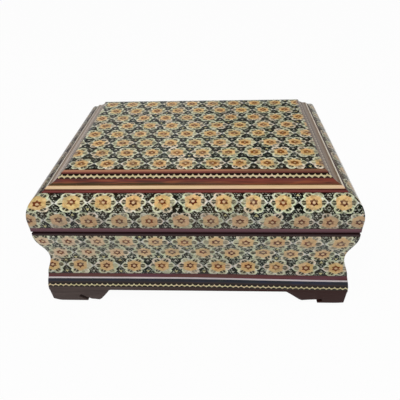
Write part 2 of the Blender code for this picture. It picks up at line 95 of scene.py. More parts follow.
# The inlay of the top: flowers a pitch apart in rows, the rows laid by hand and so not quite in step
PITCH = 15.05
ROW = PITCH * math.sqrt(3) / 2
TOP_FIRST_ROW = -3.001 * PITCH
TOP_OFFSETS = [0.71, 0.30, 0.96, 0.57, 0.85, 0.47, 0.96, 0.62]
TOP_SPREAD = 1.022

# How far the frame's faces stand off their chords
BEAD_BULGE, SLOPE_BULGE, LINE_BULGE = 0.42, -0.22, 0.16

# How far edges waver, and how finely lines, sheets and mouldings are cut
UNEVEN = 0.10
VELVET_UNEVEN = 0.12
BULGE_STEPS = 22
OGEE_STEPS = 16
TOP_GRID = (60, 5)
SIDE_GRID = (96, 9)
VELVET_GRID = (40, 30)
MOULDING_STEPS = 48
SCREW_STEPS = 28

# The hinge screws, in metres: radius of the stem, depths of the head's edge and of its foot, length of the
# tip, width and depth of the slot
STEM, HEAD_EDGE, HEAD_FOOT, TIP = 0.0006, 0.00012, 0.0008, 0.0012
SLOT_WIDTH, SLOT_DEPTH = 0.00036, 0.00035

# How far the base's bands drift down along the front, as hand-fitted ones do, and how far the plinth's thin
# bands lie below their even places, by place across the box
DRIFT = [
    (-92, 0.2), (-70, 0.2), (-35, 0.1), (0, 0.0), (18, 0.1), (34, 0.42), (51, 0.72), (69, 0.95), (92, 1.05),
]
SETTLING = [(-92, 0.55), (-63, 0.45), (-31, 0.35), (-6, 0.40), (22, 0.65), (50, 0.75), (92, 0.75)]


# Materials: formulas in nodes


def new_node(tree, kind, inputs, **settings):
    """A shader node with its settings, and its inputs by name or number."""
    node = tree.nodes.new("ShaderNode" + kind)
    for name, setting in settings.items():
        setattr(node, name, setting)
    for key, item in inputs.items():
        feed(tree, item, node.inputs[key])
    return node


def feed(tree, item, socket):
    """Links a value or a node's socket, or sets a plain number or colour."""
    if isinstance(item, Value):
        tree.links.new(item.socket, socket)
    elif isinstance(item, bpy.types.NodeSocket):
        tree.links.new(item, socket)
    else:
        socket.default_value = item


class Value:
    """A number that a material works out, so that a pattern can be written as a formula."""

    def __init__(self, tree, socket):
        self.tree = tree
        self.socket = socket

    def maths(self, operation, *others):
        node = new_node(self.tree, "Math", dict(enumerate((self, *others))), operation=operation)
        return Value(self.tree, node.outputs[0])

    __add__ = partialmethod(maths, "ADD")
    __sub__ = partialmethod(maths, "SUBTRACT")
    __mul__ = partialmethod(maths, "MULTIPLY")
    __truediv__ = partialmethod(maths, "DIVIDE")
    below = partialmethod(maths, "LESS_THAN")
    above = partialmethod(maths, "GREATER_THAN")
    least = partialmethod(maths, "MINIMUM")
    most = partialmethod(maths, "MAXIMUM")
    size = partialmethod(maths, "ABSOLUTE")
    floor = partialmethod(maths, "FLOOR")
    root = partialmethod(maths, "SQRT")

    def __rsub__(self, other):
        return self * -1.0 + other

    def rise(self, start, end):
        """0 up to start, 1 from end on, and smooth between."""
        inputs = {"Value": self, "From Min": start, "From Max": end}
        node = new_node(self.tree, "MapRange", inputs, interpolation_type="SMOOTHSTEP")
        return Value(self.tree, node.outputs["Result"])

    def fall(self, start, end):
        """1 up to start, 0 from end on, and smooth between."""
        return 1.0 - self.rise(start, end)


def linear(colour):
    """The linear colour that a shader takes for one as seen on a screen, 0 to 255. A node's colour stays."""
    if isinstance(colour, bpy.types.NodeSocket):
        return colour
    shares = [level / 255 for level in colour]
    light = [share / 12.92 if share <= 0.04045 else ((share + 0.055) / 1.055) ** 2.4 for share in shares]
    return (*light, 1.0)


def mix(tree, share, first, second, blend="MIX"):
    """First where share is 0, second where it is 1."""
    inputs = {0: share, 6: linear(first), 7: linear(second)}
    return new_node(tree, "Mix", inputs, data_type="RGBA", blend_type=blend).outputs[2]


def layered(tree, colour, *layers):
    """A colour under layers of others. Each layer is a share, a colour and perhaps a way to blend."""
    for share, tint, *blend in layers:
        colour = mix(tree, share, colour, tint, *blend)
    return colour


def parts_of(tree, vector):
    return [Value(tree, socket) for socket in new_node(tree, "SeparateXYZ", {0: vector}).outputs]


def uv_values(tree, layer):
    """The two numbers of a UV layer, and its vector."""
    vector = new_node(tree, "UVMap", {}, uv_map=layer).outputs[0]
    return *parts_of(tree, vector)[:2], vector


def position(tree):
    """The point on the object in millimetres, as a vector socket."""
    point = new_node(tree, "TexCoord", {}).outputs["Object"]
    return new_node(tree, "VectorMath", {0: point, "Scale": 1 / MM}, operation="SCALE").outputs[0]


def place_of(tree):
    """The point on the object in millimetres, as three values."""
    return parts_of(tree, position(tree))


def stretched(tree, vector, scale, times=1.0):
    factors = [part * times for part in scale]
    return new_node(tree, "VectorMath", {0: vector, 1: factors}, operation="MULTIPLY").outputs[0]


def vector_of(tree, x, y, z=0.0):
    return new_node(tree, "CombineXYZ", {0: x, 1: y, 2: z}).outputs[0]


def cloud(tree, vector, scale=1.0, detail=3.0, roughness=0.5, distortion=0.0):
    """Perlin noise from 0 to 1."""
    look = {"Scale": scale, "Detail": detail, "Roughness": roughness, "Distortion": distortion}
    return Value(tree, new_node(tree, "TexNoise", {"Vector": vector, **look}).outputs["Fac"])


def patchy(tree, along, across, fineness, seed=0.0, **look):
    """Soft patches on a strip, as fine along it and across it as the two numbers say."""
    return cloud(tree, vector_of(tree, along * fineness[0], across * fineness[1], seed), **look)


def chance(tree, *place):
    """A random number for each different place, and three more."""
    node = new_node(tree, "TexWhiteNoise", {"Vector": vector_of(tree, *place)}, noise_dimensions="3D")
    return Value(tree, node.outputs["Value"]), parts_of(tree, node.outputs["Color"])


def new_material(name, looks):
    """A Principled material with plain numbers and colours on its shader, and its node tree and shader."""
    material = bpy.data.materials.new(name)
    material.use_nodes = True
    tree = material.node_tree
    shader = tree.nodes["Principled BSDF"]
    for socket, setting in ({"Specular IOR Level": 0.15} | looks).items():
        shader.inputs[socket].default_value = setting
    return material, tree, shader


def coated(name, roughness, coat, coat_roughness):
    return new_material(name, {"Roughness": roughness, "Coat Weight": coat, "Coat Roughness": coat_roughness})


def finished(material, colour, height, depth):
    """The material with its colour and its bumps: height runs from 0 to 1, over a depth in metres."""
    tree = material.node_tree
    shader = tree.nodes["Principled BSDF"]
    feed(tree, colour, shader.inputs["Base Color"])
    relief = new_node(tree, "Bump", {"Distance": depth, "Strength": 1.0, "Height": height}).outputs[0]
    feed(tree, relief, shader.inputs["Normal"])
    if shader.inputs["Coat Weight"].default_value > 0:
        feed(tree, relief, shader.inputs["Coat Normal"])
    return material


# The khatam inlay, in flower pitches

TAN = [(242, 199, 134), (236, 210, 136), (248, 182, 112), (242, 201, 156)]
LOOP = [(242, 245, 209), (228, 237, 201), (252, 237, 212)]
GROUND = [(11, 11, 5), (12, 36, 20)]
STAR = [(94, 32, 8), (128, 54, 4), (156, 94, 0)]
DOT = (236, 204, 160)
EYE = [(52, 36, 8), (26, 36, 22)]
SPECK = [(206, 206, 190), (150, 158, 144), (216, 210, 158)]
SIXTH = math.pi / 3
ROW_HEIGHT = 0.905
LOBE_PLACE = 0.334
LOBE_RADIUS = 0.170
HEXAGON_RADIUS = 0.352
TIP_REACH = 0.499
USUAL_BODY = 0.28

# The reach of a flower's wooden middle, the width of its pale edge, the size of the pale dot in its star, the
# width of the star's points, the share of amber wood in it, the size of the ground's tiles, the strength of
# their pale flecks, and the share of tiles with one
KHATAM = {
    "body": USUAL_BODY, "loop": 0.046, "dot": 0.050, "bold": 0.68,
    "amber": 0.0, "tile": 0.112, "flecks": 0.90, "flecked": 0.20,
}


def arm_of(radius, angle, direction):
    """How far a point lies along an arm of the flower, and to its side."""
    off = angle - direction
    return radius * off.maths("COSINE"), (radius * off.maths("SINE")).size()


def khatam_cell(tree):
    """Which flower and petal a point belongs to, their luck, and its place there, a little off as by hand.

    The UV layer holds flowers along the row, centred on whole numbers, and rows from edge to edge.
    """
    at = SimpleNamespace()
    at.along, at.across, _ = uv_values(tree, "inlay")
    at.row = at.across.floor()
    at.flower = (at.along + 0.5).floor()
    at.luck, (at.turn, slip, at.tone) = chance(tree, at.flower, at.row)
    drift_x, drift_y = (
        patchy(tree, at.along, at.across, (4.0, 4.0), at.row * 7.0 + seed, detail=2.0) for seed in (0.0, 3.5)
    )
    at.waver = drift_x - 0.5
    at.x = at.along - at.flower + (slip - 0.5) * 0.020 + at.waver * 0.055
    at.y = (at.across - at.row - 0.5) * ROW_HEIGHT + (at.luck - 0.5) * 0.016 + (drift_y - 0.5) * 0.055
    at.radius = (at.x * at.x + at.y * at.y).root()
    angle = at.y.maths("ARCTAN2", at.x) + (at.turn - 0.5) * 0.12
    sector = (angle / SIXTH).maths("ROUND")
    at.half_sector = (angle / SIXTH).floor()
    at.lobe_x, at.lobe_y = arm_of(at.radius, angle, sector * SIXTH)
    at.notch_x, at.notch_y = arm_of(at.radius, angle, (at.half_sector + 0.5) * SIXTH)
    petal = sector.maths("MODULO", 6.0) + 5.0
    at.petal_luck, (at.petal_tone, at.petal_warm, at.petal_light) = chance(tree, at.flower, at.row, petal)
    at.beside = (sector.size() - 1.5).size().above(1.0)
    return at


def khatam_tiles(tree, at, tile):
    """Which small three-sided tile a point belongs to, its luck, and how near its edge and corner that is."""
    up = at.y / (tile * math.sqrt(3) / 2)
    slanted = at.x / tile - up * 0.5
    part_x, part_y = slanted - slanted.floor(), up - up.floor()
    upper = (part_x + part_y).above(1.0)
    key = (slanted.floor() + at.flower * 17.0, up.floor() + at.row * 23.0, upper)
    at.tile_luck, (at.tile_pale, at.tile_tone, at.tile_wood) = chance(tree, *key)
    at.tile_edge = part_x.least(part_y).least((part_x + part_y - 1.0).size())
    corner_x, corner_y = (0.5 - (part - 0.5).size() for part in (part_x, part_y))
    at.tile_corner = (corner_x * corner_x + corner_y * corner_y).root()


def khatam_ground(tree, at, look):
    """Black and green tiles with pale specks, and in each gap a pale, dark-edged triangle with fine lines."""
    gap_x = 0.5 - at.x.size()
    gap_y = at.y.size() - 0.292
    triangle = (gap_y * -1.0).most(gap_y * 0.5 + gap_x * 0.866)
    cross = (at.y.size() - gap_x * 0.75).size().below(0.017) * gap_x.below(0.125)
    luck, _ = chance(tree, at.along.floor(), at.row, at.y.above(0.0))
    gap = layered(tree, SPECK[0], (luck.above(0.80), SPECK[2]), (luck.below(0.25), SPECK[1]))
    pale_tile = mix(tree, at.tile_tone, SPECK[1], (188, 190, 168))
    return layered(
        tree, GROUND[0], (at.tile_luck.above(0.58), GROUND[1]),
        (at.tile_pale.below(look.busy) * at.tile_edge.above(0.10), pale_tile),
        (at.tile_edge.below(0.08) * at.tile_luck.above(0.76) * 0.20, SPECK[1]),
        (at.tile_corner.below(0.31) * at.tile_luck.above(1.0 - look.flecked) * look.flecks, (222, 224, 208)),
        (triangle.below(0.068), GROUND[0]), (cross * 0.75, SPECK[0]), (triangle.below(0.037), gap),
    )


def khatam_wood(tree, at, look):
    """Petals of slightly different woods, with a dark star and a pale dot in the middle."""
    reach = 0.14 + look.bold * 0.025
    star = at.notch_x.above(look.dot) * at.notch_x.below(reach)
    star = star * (at.notch_y + (at.notch_x - reach) * look.bold).below(0.0)
    star_luck, _ = chance(tree, at.flower + 3.0, at.row, at.half_sector)
    dark = layered(tree, STAR[0], (at.tone, STAR[1]), (look.amber, STAR[2]))
    return layered(
        tree, TAN[0], (at.tone.rise(0.25, 0.75) * 0.75, TAN[1]),
        ((at.tone * 0.35 + at.petal_tone * 0.65).rise(0.5, 0.8) * 0.7, TAN[2]),
        ((at.turn * 0.5 + at.petal_warm * 0.5).rise(0.55, 0.85) * 0.8, TAN[3]),
        ((at.petal_light * 0.6 + at.luck * 0.4).rise(0.6, 0.9) * 0.5, TAN[1]),
        (at.radius.rise(0.10, 0.30) * 0.40, (238, 210, 156)),
        (at.lobe_y.below(0.011).most(at.notch_y.below(0.007)) * 0.30, (240, 208, 152)),
        (at.tile_wood.above(0.76) * 0.30, (204, 142, 84)), (at.tile_wood.below(0.22) * 0.40, (252, 222, 168)),
        *look.wood_cast,
        (star * (star_luck.rise(0.0, 0.5) * 0.35 + 0.65), dark),
        (at.notch_x.below(look.dot), DOT),
    )


def khatam_flower(tree, at, look):
    """Below zero inside the flower, and its colour: woods, dark eyes in each lobe, a pale loop round it."""
    hexagon = at.lobe_x * math.cos(math.pi / 6) + at.lobe_y * math.sin(math.pi / 6) - HEXAGON_RADIUS
    cut_off = at.petal_warm.below(0.18) * 0.036
    off = at.lobe_x - LOBE_PLACE + cut_off * 0.6
    lobe = (off * off + at.lobe_y * at.lobe_y * 0.90).root() - LOBE_RADIUS + cut_off
    tip = (at.lobe_x + at.lobe_y * (at.beside * 0.38 + 0.45) - TIP_REACH) * 0.85
    outline = hexagon.least(lobe.most(tip))

    pale = layered(
        tree, LOOP[0], (at.luck.above(0.45), LOOP[1]), (at.petal_luck.above(0.74), LOOP[2]),
        (at.tile_tone.above(0.80) * 0.42, (120, 124, 98)), (at.tile_tone.below(0.25) * 0.60, (254, 252, 240)),
        *look.pale_cast,
    )
    inner_x = at.lobe_x + at.beside * 0.030
    further = look.body - USUAL_BODY
    eye = inner_x.above(look.body - 0.010) * at.lobe_x.below(0.394 + further * 0.6) * at.lobe_y.above(0.009)
    eye = eye * (at.lobe_y + (at.lobe_x - 0.326 - further).size() * 0.50).below(0.104)
    eye = eye * (at.petal_luck.above(0.05) * 0.7 + 0.3) * (at.petal_light.above(0.22) * 0.35 + 0.60)
    width = at.lobe_x.rise(0.30, 0.38) * 0.012 + (at.petal_light - 0.5) * 0.018 + at.waver * 0.05 + look.loop
    rim = outline + width
    meeting = at.beside * at.lobe_x.rise(0.38, 0.46)
    stain = patchy(tree, at.along, at.across, (3.0, 3.0), at.row * 5.0 + 1.5)
    return outline, layered(
        tree, khatam_wood(tree, at, look), (inner_x.rise(look.body - 0.018, look.body + 0.018) * 0.78, pale),
        (eye, mix(tree, at.petal_tone.above(0.5), *EYE)),
        (rim.above(0.0), mix(tree, meeting * 0.6, pale, (240, 236, 240))),
        (rim.size().below(0.007) * 0.30, (132, 106, 70)), (stain.rise(0.48, 0.72) * 0.30, SPECK[1]),
    )


def khatam_material(name, coat, mottle, busy, shaded_strip=None, paler_share=0.0, worn=False, **shape):
    """Six-lobed flowers of cut wood and bone on a ground of black and green, under a clear lacquer.

    mottle is the share of dull patches, busy the share of pale tiles in the ground, shaded_strip the last
    digit of a strip painted darker and greyer as shade and reflection haze, paler_share how much paler and
    greyer the strips above it are, palest to the left as a painted reflection, worn whether it is rubbed and
    dirty to the left and under a painted grey reflection haze to the right, and shape what differs from the
    usual flower.
    """
    material, tree, _ = coated(name, 0.45, coat, 0.12)
    look = SimpleNamespace(busy=busy, wood_cast=[], pale_cast=[], **(KHATAM | shape))
    at = khatam_cell(tree)
    khatam_tiles(tree, at, look.tile)
    strip = at.row.maths("MODULO", 10.0)
    painted_strip_shade = []
    if shaded_strip is not None:
        # Painted shade and reflection haze: this one strip is darker and greyer
        dull = (strip - shaded_strip).size().below(0.5)
        painted_strip_shade = [(dull, (227, 227, 230), "MULTIPLY")]
        look.wood_cast = [(dull * 0.35, (224, 184, 160))]
    if paler_share:
        # Paler and greyer strips above the shaded one, palest to the left, where this is a painted reflection
        paler = strip.below(shaded_strip - 0.5) * paler_share
        left = place_of(tree)[0].fall(-70.0, -10.0)
        look.busy = paler * 0.30 + busy
        look.wood_cast = [(paler * 0.8, (206, 182, 153)), (left * paler * 1.3, (232, 212, 190))]
        look.pale_cast = [(paler * 0.7, (186, 190, 164))]
    outline, flower = khatam_flower(tree, at, look)
    colour = mix(tree, outline.below(0.0), khatam_ground(tree, at, look), flower)

    # Patches, grain and age over it all
    spots = patchy(tree, at.along, at.across, (6.5, 6.5), at.row * 3.0 + 0.7, detail=4.0, roughness=0.65)
    grain = patchy(tree, at.along, at.across, (9.0, 9.0), at.row, scale=4.0)
    age = cloud(tree, position(tree), scale=0.045)
    colour = layered(
        tree, colour, (spots.rise(0.44, 0.64) * mottle, (176, 170, 158), "MULTIPLY"), *painted_strip_shade,
        (grain.rise(0.25, 0.75) * 0.30, (136, 124, 102), "SOFT_LIGHT"),
        (age.rise(0.35, 0.75) * 0.10, (150, 120, 80)),
    )
    if worn:
        # Rubbed and dirty, dark brown, to the left; to the right a painted grey reflection haze
        right = place_of(tree)[0].rise(-20.0, 20.0)
        colour = mix(tree, right * -0.24 + 0.66, colour, mix(tree, right, (66, 40, 32), (138, 128, 114)))
    wave = cloud(tree, position(tree), scale=0.10, detail=2.0)
    fine = cloud(tree, position(tree), scale=1.3, detail=2.0)
    return finished(material, colour, wave * 0.85 + fine * 0.15, 0.00018)


# Woods and bands: distances along and across a moulding are in millimetres


def wood_material(
    name, light, dark, shade=None, roughness=0.4, coat=0.8, coat_roughness=0.14, axis=None, streaks=1.0,
):
    """Straight-grained wood. Grain runs along the UV layer, or along a world axis on a part that has none.

    shade gives layers of colour for the distances along and across the moulding.
    """
    material, tree, _ = coated(name, roughness, coat, coat_roughness)
    along = across = None
    if axis is None:
        along, across, vector = uv_values(tree, "run")
        scale = (0.045, 1.1, 1.0)
    else:
        vector = position(tree)
        scale = [0.045 if letter == axis else 0.75 for letter in "xyz"]
    drift = cloud(tree, stretched(tree, vector, scale, 0.35), detail=2.0)
    grain = {"scale": streaks, "detail": 4.0, "roughness": 0.6, "distortion": 0.4}
    band = cloud(tree, stretched(tree, vector, scale), **grain)
    pores = cloud(tree, stretched(tree, vector, scale, 5.0), scale=streaks, detail=2.0)
    tone = (band * 0.65 + drift * 0.35).rise(0.34, 0.66)
    layers = shade(tree, along, across) if shade else []
    colour = layered(tree, dark, (tone, light), (pores.rise(0.56, 0.72) * 0.45, dark), *layers)
    return finished(material, colour, band * 0.5 + pores * 0.5, 0.00006)


def braid(along, across, period, peak, shoulder, gap_top, foot):
    """1 on a zigzag of pale wood that runs along a strip: sharp peaks above and round-topped gaps below."""
    phase = along / period
    off = (phase - phase.floor() - 0.5).size()
    top = (off * (1 / 0.27)).least(1.0) * (shoulder - peak) + peak
    gap = (off * 2.0).maths("POWER", 2.0) * (foot - gap_top) + gap_top
    return across.above(top) * across.below(gap)


def braid_material(name, period, start, shape, last_line, coat, colours):
    """A strip of zigzag inlay in three pale woods, with darker woods above it, below it and at its foot."""
    material, tree, _ = coated(name, 0.40, coat, 0.14)
    pale, second, third, above, below, last = colours
    along, across, vector = uv_values(tree, "run")
    wobble = cloud(tree, stretched(tree, vector, (0.25, 0.25, 1.0)), detail=2.0) - 0.5
    along = along + start
    line = braid(along + wobble * 1.2, across + wobble * 0.25, period, *shape)
    _, (tone, warm, _) = chance(tree, (along / period).floor(), 0.0)
    grain = cloud(tree, stretched(tree, vector, (0.3, 2.0, 1.0)))
    middle = (shape[1] + shape[2]) / 2
    zigzag = layered(
        tree, pale, (tone.rise(0.1, 1.0) * 0.6, second), (warm.above(0.7) * 0.6, third),
        (grain.rise(0.5, 0.8) * 0.3, second),
    )
    colour = layered(
        tree, above, (across.above(middle), below), (grain.rise(0.35, 0.75) * 0.15, last),
        (across.rise(*last_line), last), (line, zigzag),
    )
    return finished(material, colour, line * 0.5 + grain * 0.3, 0.00008)


def bead_shade(tree, along, across):
    """A pinkish top edge, partly rubbed and partly a painted highlight, darker brown to the right as a
    painted shade, and dark red towards the foot of the bead.
    """
    patch = patchy(tree, along, across, (0.05, 0.2))
    return [
        (patch.rise(0.42, 0.62) * 0.5, (150, 96, 66)),
        # Painted highlight, partly rubbed wood: the pinkish top edge
        (across.fall(0.8, 1.5) * 0.75, (186, 130, 100)),
        # Painted shade: darker brown towards the right
        (along.rise(4.0, 48.0) * 0.70, (104, 70, 48)),
        (across.rise(1.2, 1.9) * 0.75, (106, 48, 46)),
    ]


def slope_shade(tree, along, across):
    """Dark red at the top, olive brown lower down, redder to the right, and a golden line along the foot."""
    patch = patchy(tree, along, across, (0.03, 0.15))
    streak = patchy(tree, along, across, (0.06, 0.8), 4.0, detail=4.0)
    return [
        (across.rise(1.0, 2.2) * 0.8, (88, 68, 50)),
        (across.rise(2.0, 2.8) * patch.rise(0.44, 0.60) * 0.8, (62, 54, 28)),
        (along.rise(2.0, 30.0) * across.fall(2.8, 3.6) * 0.55, (134, 58, 40)),
        (streak.rise(0.50, 0.66) * 0.60, (152, 84, 52)),
        (streak.rise(0.34, 0.44) * -0.6 + 0.6, (60, 34, 26)),
        (patch.rise(0.54, 0.66) * across.fall(1.4, 2.0) * 0.6, (70, 44, 50)),
        (across.rise(3.3, 4.0) * 0.85, (136, 98, 54)),
    ]


def side_slope_shade(tree, along, across):
    """A painted highlight: pale near the bead on the left."""
    left = place_of(tree)[0].fall(-20.0, 20.0)
    # Painted highlight on the inner half of the slope, on the left side only
    return [(across.fall(0.8, 3.4) * left * 0.8, (206, 184, 168))]


def pale_shade(tree, along, across):
    """A little pinker in places, and a dark line at the foot."""
    patch = patchy(tree, along, across, (0.03, 0.1), 9.0, detail=2.0)
    return [(patch.rise(0.48, 0.62) * 0.5, (232, 190, 160)), (across.rise(1.85, 2.0), (96, 52, 38))]


def navy_shade(tree, along, across):
    """Bluer and greener in places, and browner towards the foot."""
    patch = patchy(tree, along, across, (0.035, 0.1), 3.0)
    green = patchy(tree, along, across, (0.05, 0.1), 8.0, detail=2.0)
    return [
        (across.fall(0.2, 1.2) * 0.5, (30, 42, 42)),
        (patch.rise(0.45, 0.60) * 0.6, (32, 38, 66)),
        (green.rise(0.50, 0.64) * 0.5, (42, 50, 42)),
        (across.rise(1.8, 2.7) * 0.8, (54, 34, 30)),
    ]


def red_shade(tree, along, across):
    """More purple in places and browner in others, and darker at the top."""
    patch = patchy(tree, along, across, (0.03, 0.2), 5.0)
    return [
        (patch.rise(0.48, 0.60) * 0.6, (92, 54, 70)),
        (patch.rise(0.40, 0.46) * -0.5 + 0.5, (88, 58, 46)),
        (across.fall(0.0, 0.6) * 0.5, (64, 40, 40)),
    ]


def foot_shade(tree, along, across):
    """Greyer to the left, dark red brown to the right, as the two feet of the front are."""
    return [(place_of(tree)[0].rise(-60.0, 60.0) * 0.88, (48, 12, 5))]


def outside(tree):
    """1 on faces that look away from the middle of the box, 0 on its flat rims and inner faces."""
    normal = new_node(tree, "TexCoord", {}).outputs["Normal"]
    facing_x, facing_y, _ = parts_of(tree, normal)
    x, y, _ = place_of(tree)
    return (facing_x * x + facing_y * (y - BOX_SHIFT)).rise(4.0, 14.0)


def lid_shade(tree, along, across):
    """Red under the frame, purple brown on the rim, darker down towards the seam and nearly black at it, a
    painted shadow in the seam, and brown inside.
    """
    height = place_of(tree)[2]
    # The rim darkens downwards into the painted shadow of the seam
    rim = mix(tree, height.rise(56.4, 57.8), (78, 34, 46), (102, 60, 70))
    return [
        (1.0 - outside(tree), (88, 50, 38)),
        (height.fall(60.0, 70.0) * outside(tree), rim),
        # Painted shadow in the seam, on outer faces only
        (height.fall(55.7, 56.5) * outside(tree), (36, 2, 13)),
    ]


def case_shade(tree, along, across):
    """Dark brown on the rim, and nearly black at the seam, a painted shadow in the seam."""
    height = place_of(tree)[2]
    return [
        (height.rise(52.4, 53.2) * outside(tree), (56, 38, 36)),
        # Painted shadow in the seam, on outer faces only
        (height.rise(54.0, 54.9) * outside(tree), (32, 3, 12)),
    ]


def velvet_material():
    """Short pile: a soft sheen, and darker patches where it was brushed the other way."""
    sheen = {"Sheen Weight": 0.3, "Sheen Roughness": 0.35, "Sheen Tint": linear((232, 96, 108))}
    material, tree, _ = new_material("velvet", {"Roughness": 0.95, **sheen})
    brushed = cloud(tree, position(tree), scale=0.06, distortion=0.6)
    pile = cloud(tree, position(tree), scale=2.6, detail=2.0)
    layers = (brushed.rise(0.32, 0.68), (126, 14, 31)), (pile.rise(0.45, 0.8) * 0.5, (60, 4, 14))
    return finished(material, layered(tree, (102, 9, 23), *layers), pile * 0.7 + brushed * 0.3, 0.0004)


def brass_material():
    """Rolled brass with drawing lines, dulled in patches."""
    material, tree, shader = new_material("brass", {"Metallic": 1.0, "Specular IOR Level": 0.5})
    lines = cloud(tree, stretched(tree, position(tree), (0.25, 6.0, 6.0)), detail=2.0)
    dull = cloud(tree, position(tree), scale=0.35, detail=4.0)
    layers = (dull.rise(0.4, 0.7), (212, 174, 108)), (lines.rise(0.4, 0.8) * 0.3, (248, 224, 164))
    feed(tree, dull.rise(0.3, 0.75) * 0.28 + lines * 0.12 + 0.16, shader.inputs["Roughness"])
    return finished(material, layered(tree, (244, 216, 152), *layers), lines * 0.6 + dull * 0.4, 0.00003)


# Lines and tables


def between(value, knots):
    """Straight lines between knots, each a place and its result, and on past the first and last."""
    index = 0
    while index < len(knots) - 2 and value > knots[index + 1][0]:
        index += 1
    (start, first), (end, second) = knots[index:index + 2]
    return first + (second - first) * (value - start) / (end - start)


def held(value, knots):
    """As between, but level past the first and last knot."""
    return between(min(max(value, knots[0][0]), knots[-1][0]), knots)


def lengths_of(line):
    lengths = [0.0]
    for first, second in zip(line, line[1:]):
        lengths.append(lengths[-1] + math.dist(first, second))
    return lengths


def ruled(line):
    """The outs and the ups of a line's points, each with its distance down the line."""
    return [list(zip(lengths_of(line), part)) for part in zip(*line)]


def at_distance(rule, distance):
    """The (out, up) point at a distance down a ruled line, or the end nearest to it."""
    return tuple(held(distance, part) for part in rule)


def half_wave(share):
    return (1 - math.cos(math.pi * share)) / 2


def rounded(points, bulge, steps):
    """Points on a shallow arc between two (out, up) points, standing off their chord by bulge."""
    (out_a, up_a), (out_b, up_b) = points
    length = math.dist(*points)
    found = []
    for step in range(steps + 1):
        share = step / steps
        lift = bulge * math.sin(math.pi * share) / length
        out = out_a + (out_b - out_a) * share + (up_a - up_b) * lift
        found.append((out, up_a + (up_b - up_a) * share + (out_b - out_a) * lift))
    return found


def bulge_line():
    """The lid's side: a quarter ellipse, then an upright band down to the rim."""
    reach = EDGE_WIDTH - BULGE_START
    line = [(BULGE_START - 0.3, BULGE_HEIGHT + BULGE_RISE + 0.05)]
    for step in range(BULGE_STEPS + 1):
        angle = math.pi / 2 * step / BULGE_STEPS
        line.append((BULGE_START + reach * math.sin(angle), BULGE_HEIGHT + BULGE_RISE * math.cos(angle)))
    return line + [(EDGE_WIDTH - 0.1, (BULGE_HEIGHT + RIM_TOP) / 2), (EDGE_WIDTH - 0.2, RIM_TOP + 0.02)]


def ogee_line():
    """The base's side: in to the waist, then out to the skirt."""
    top, waist, skirt = (BASE_TOP_OUT, BASE_VENEER_TOP), (WAIST_OUT, WAIST_HEIGHT), (SKIRT_OUT, SKIRT_HEIGHT)
    line = [top]
    for (out_a, up_a), (out_b, up_b) in ((top, waist), (waist, skirt)):
        for step in range(1, OGEE_STEPS + 1):
            share = step / OGEE_STEPS
            line.append((out_a + (out_b - out_a) * half_wave(share), up_a + (up_b - up_a) * share))
    return line


def flower_centres(half, pitch, middle, seed):
    """Places of the flowers along a row that can't be seen: even steps with a hand's error."""
    luck = random.Random(seed)
    start = -half - pitch * luck.uniform(0.2, 1.2)
    centres = []
    while start < half + pitch:
        centres.append((start + luck.uniform(-0.7, 0.7), middle + luck.uniform(-0.5, 0.5)))
        start += pitch
    return centres


# Shapes


def smooth_luck(*point):
    """A random number from 0 to 1 that changes smoothly from point to point."""
    return (noise.noise(Vector(point)) + 1.0) / 2


def in_metres(x, y, up):
    return (x * MM, (y + BOX_SHIFT) * MM, up * MM)


def place(side, along, out, up, uneven=True):
    """A side's place as a point in metres. Long edges waver very slightly inwards, as planed ones do."""
    x, y = along, -(SIDES[side][1] + out)
    for _ in range(list(SIDES).index(side)):
        x, y = -y, x
    if uneven:
        inward = UNEVEN * smooth_luck(x * 0.035, y * 0.035, up * 0.05)
        length = math.hypot(x, y)
        x, y = x - inward * x / length, y - inward * y / length
        up = up - inward * 0.5
    return in_metres(x, y, up)


def across_box(side, along):
    """The place across the box, -92 to 92 mm, of a place along a side."""
    return {"front": along, "back": -along, "right": SHORT_SIDE_X, "left": -SHORT_SIDE_X}[side]


def new_mesh(name, tool):
    mesh = bpy.data.meshes.new(name)
    tool.to_mesh(mesh)
    tool.free()
    return mesh


def in_scene(name, data):
    obj = bpy.data.objects.new(name, data)
    bpy.context.scene.collection.objects.link(obj)
    return obj


def new_object(name, mesh, material, body, nodes=()):
    obj = in_scene(name, mesh)
    mesh.materials.append(material)
    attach(obj, body)
    if nodes:
        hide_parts(*nodes)
    return obj


def smooth_by_angle(mesh, degrees=35):
    mesh.shade_smooth()
    mesh.set_sharp_from_angle(angle=math.radians(degrees))


def thicken(obj, thickness):
    """Gives a sheet its thickness in millimetres, inwards from its face."""
    solid = obj.modifiers.new("thickness", "SOLIDIFY")
    solid.thickness = thickness * MM
    solid.offset = -1.0


def add_face(tool, layer, corners):
    """A face over corners, each a vertex and its place on the UV layer."""
    made = tool.faces.new([vertex for vertex, _ in corners])
    for loop, (_, uv) in zip(made.loops, corners):
        loop[layer].uv = uv


def close_in(tool, rings, tip=None):
    """Faces between rings of vertices, over the first, and over the last or from it to a tip."""
    for first, second in zip(rings, rings[1:]):
        for i in range(len(first)):
            tool.faces.new((first[i - 1], second[i - 1], second[i], first[i]))
    tool.faces.new(rings[0])
    if tip is None:
        tool.faces.new(rings[-1])
    else:
        for i, vertex in enumerate(rings[-1]):
            tool.faces.new((rings[-1][i - 1], vertex, tip))
    bmesh.ops.recalc_face_normals(tool, faces=tool.faces)


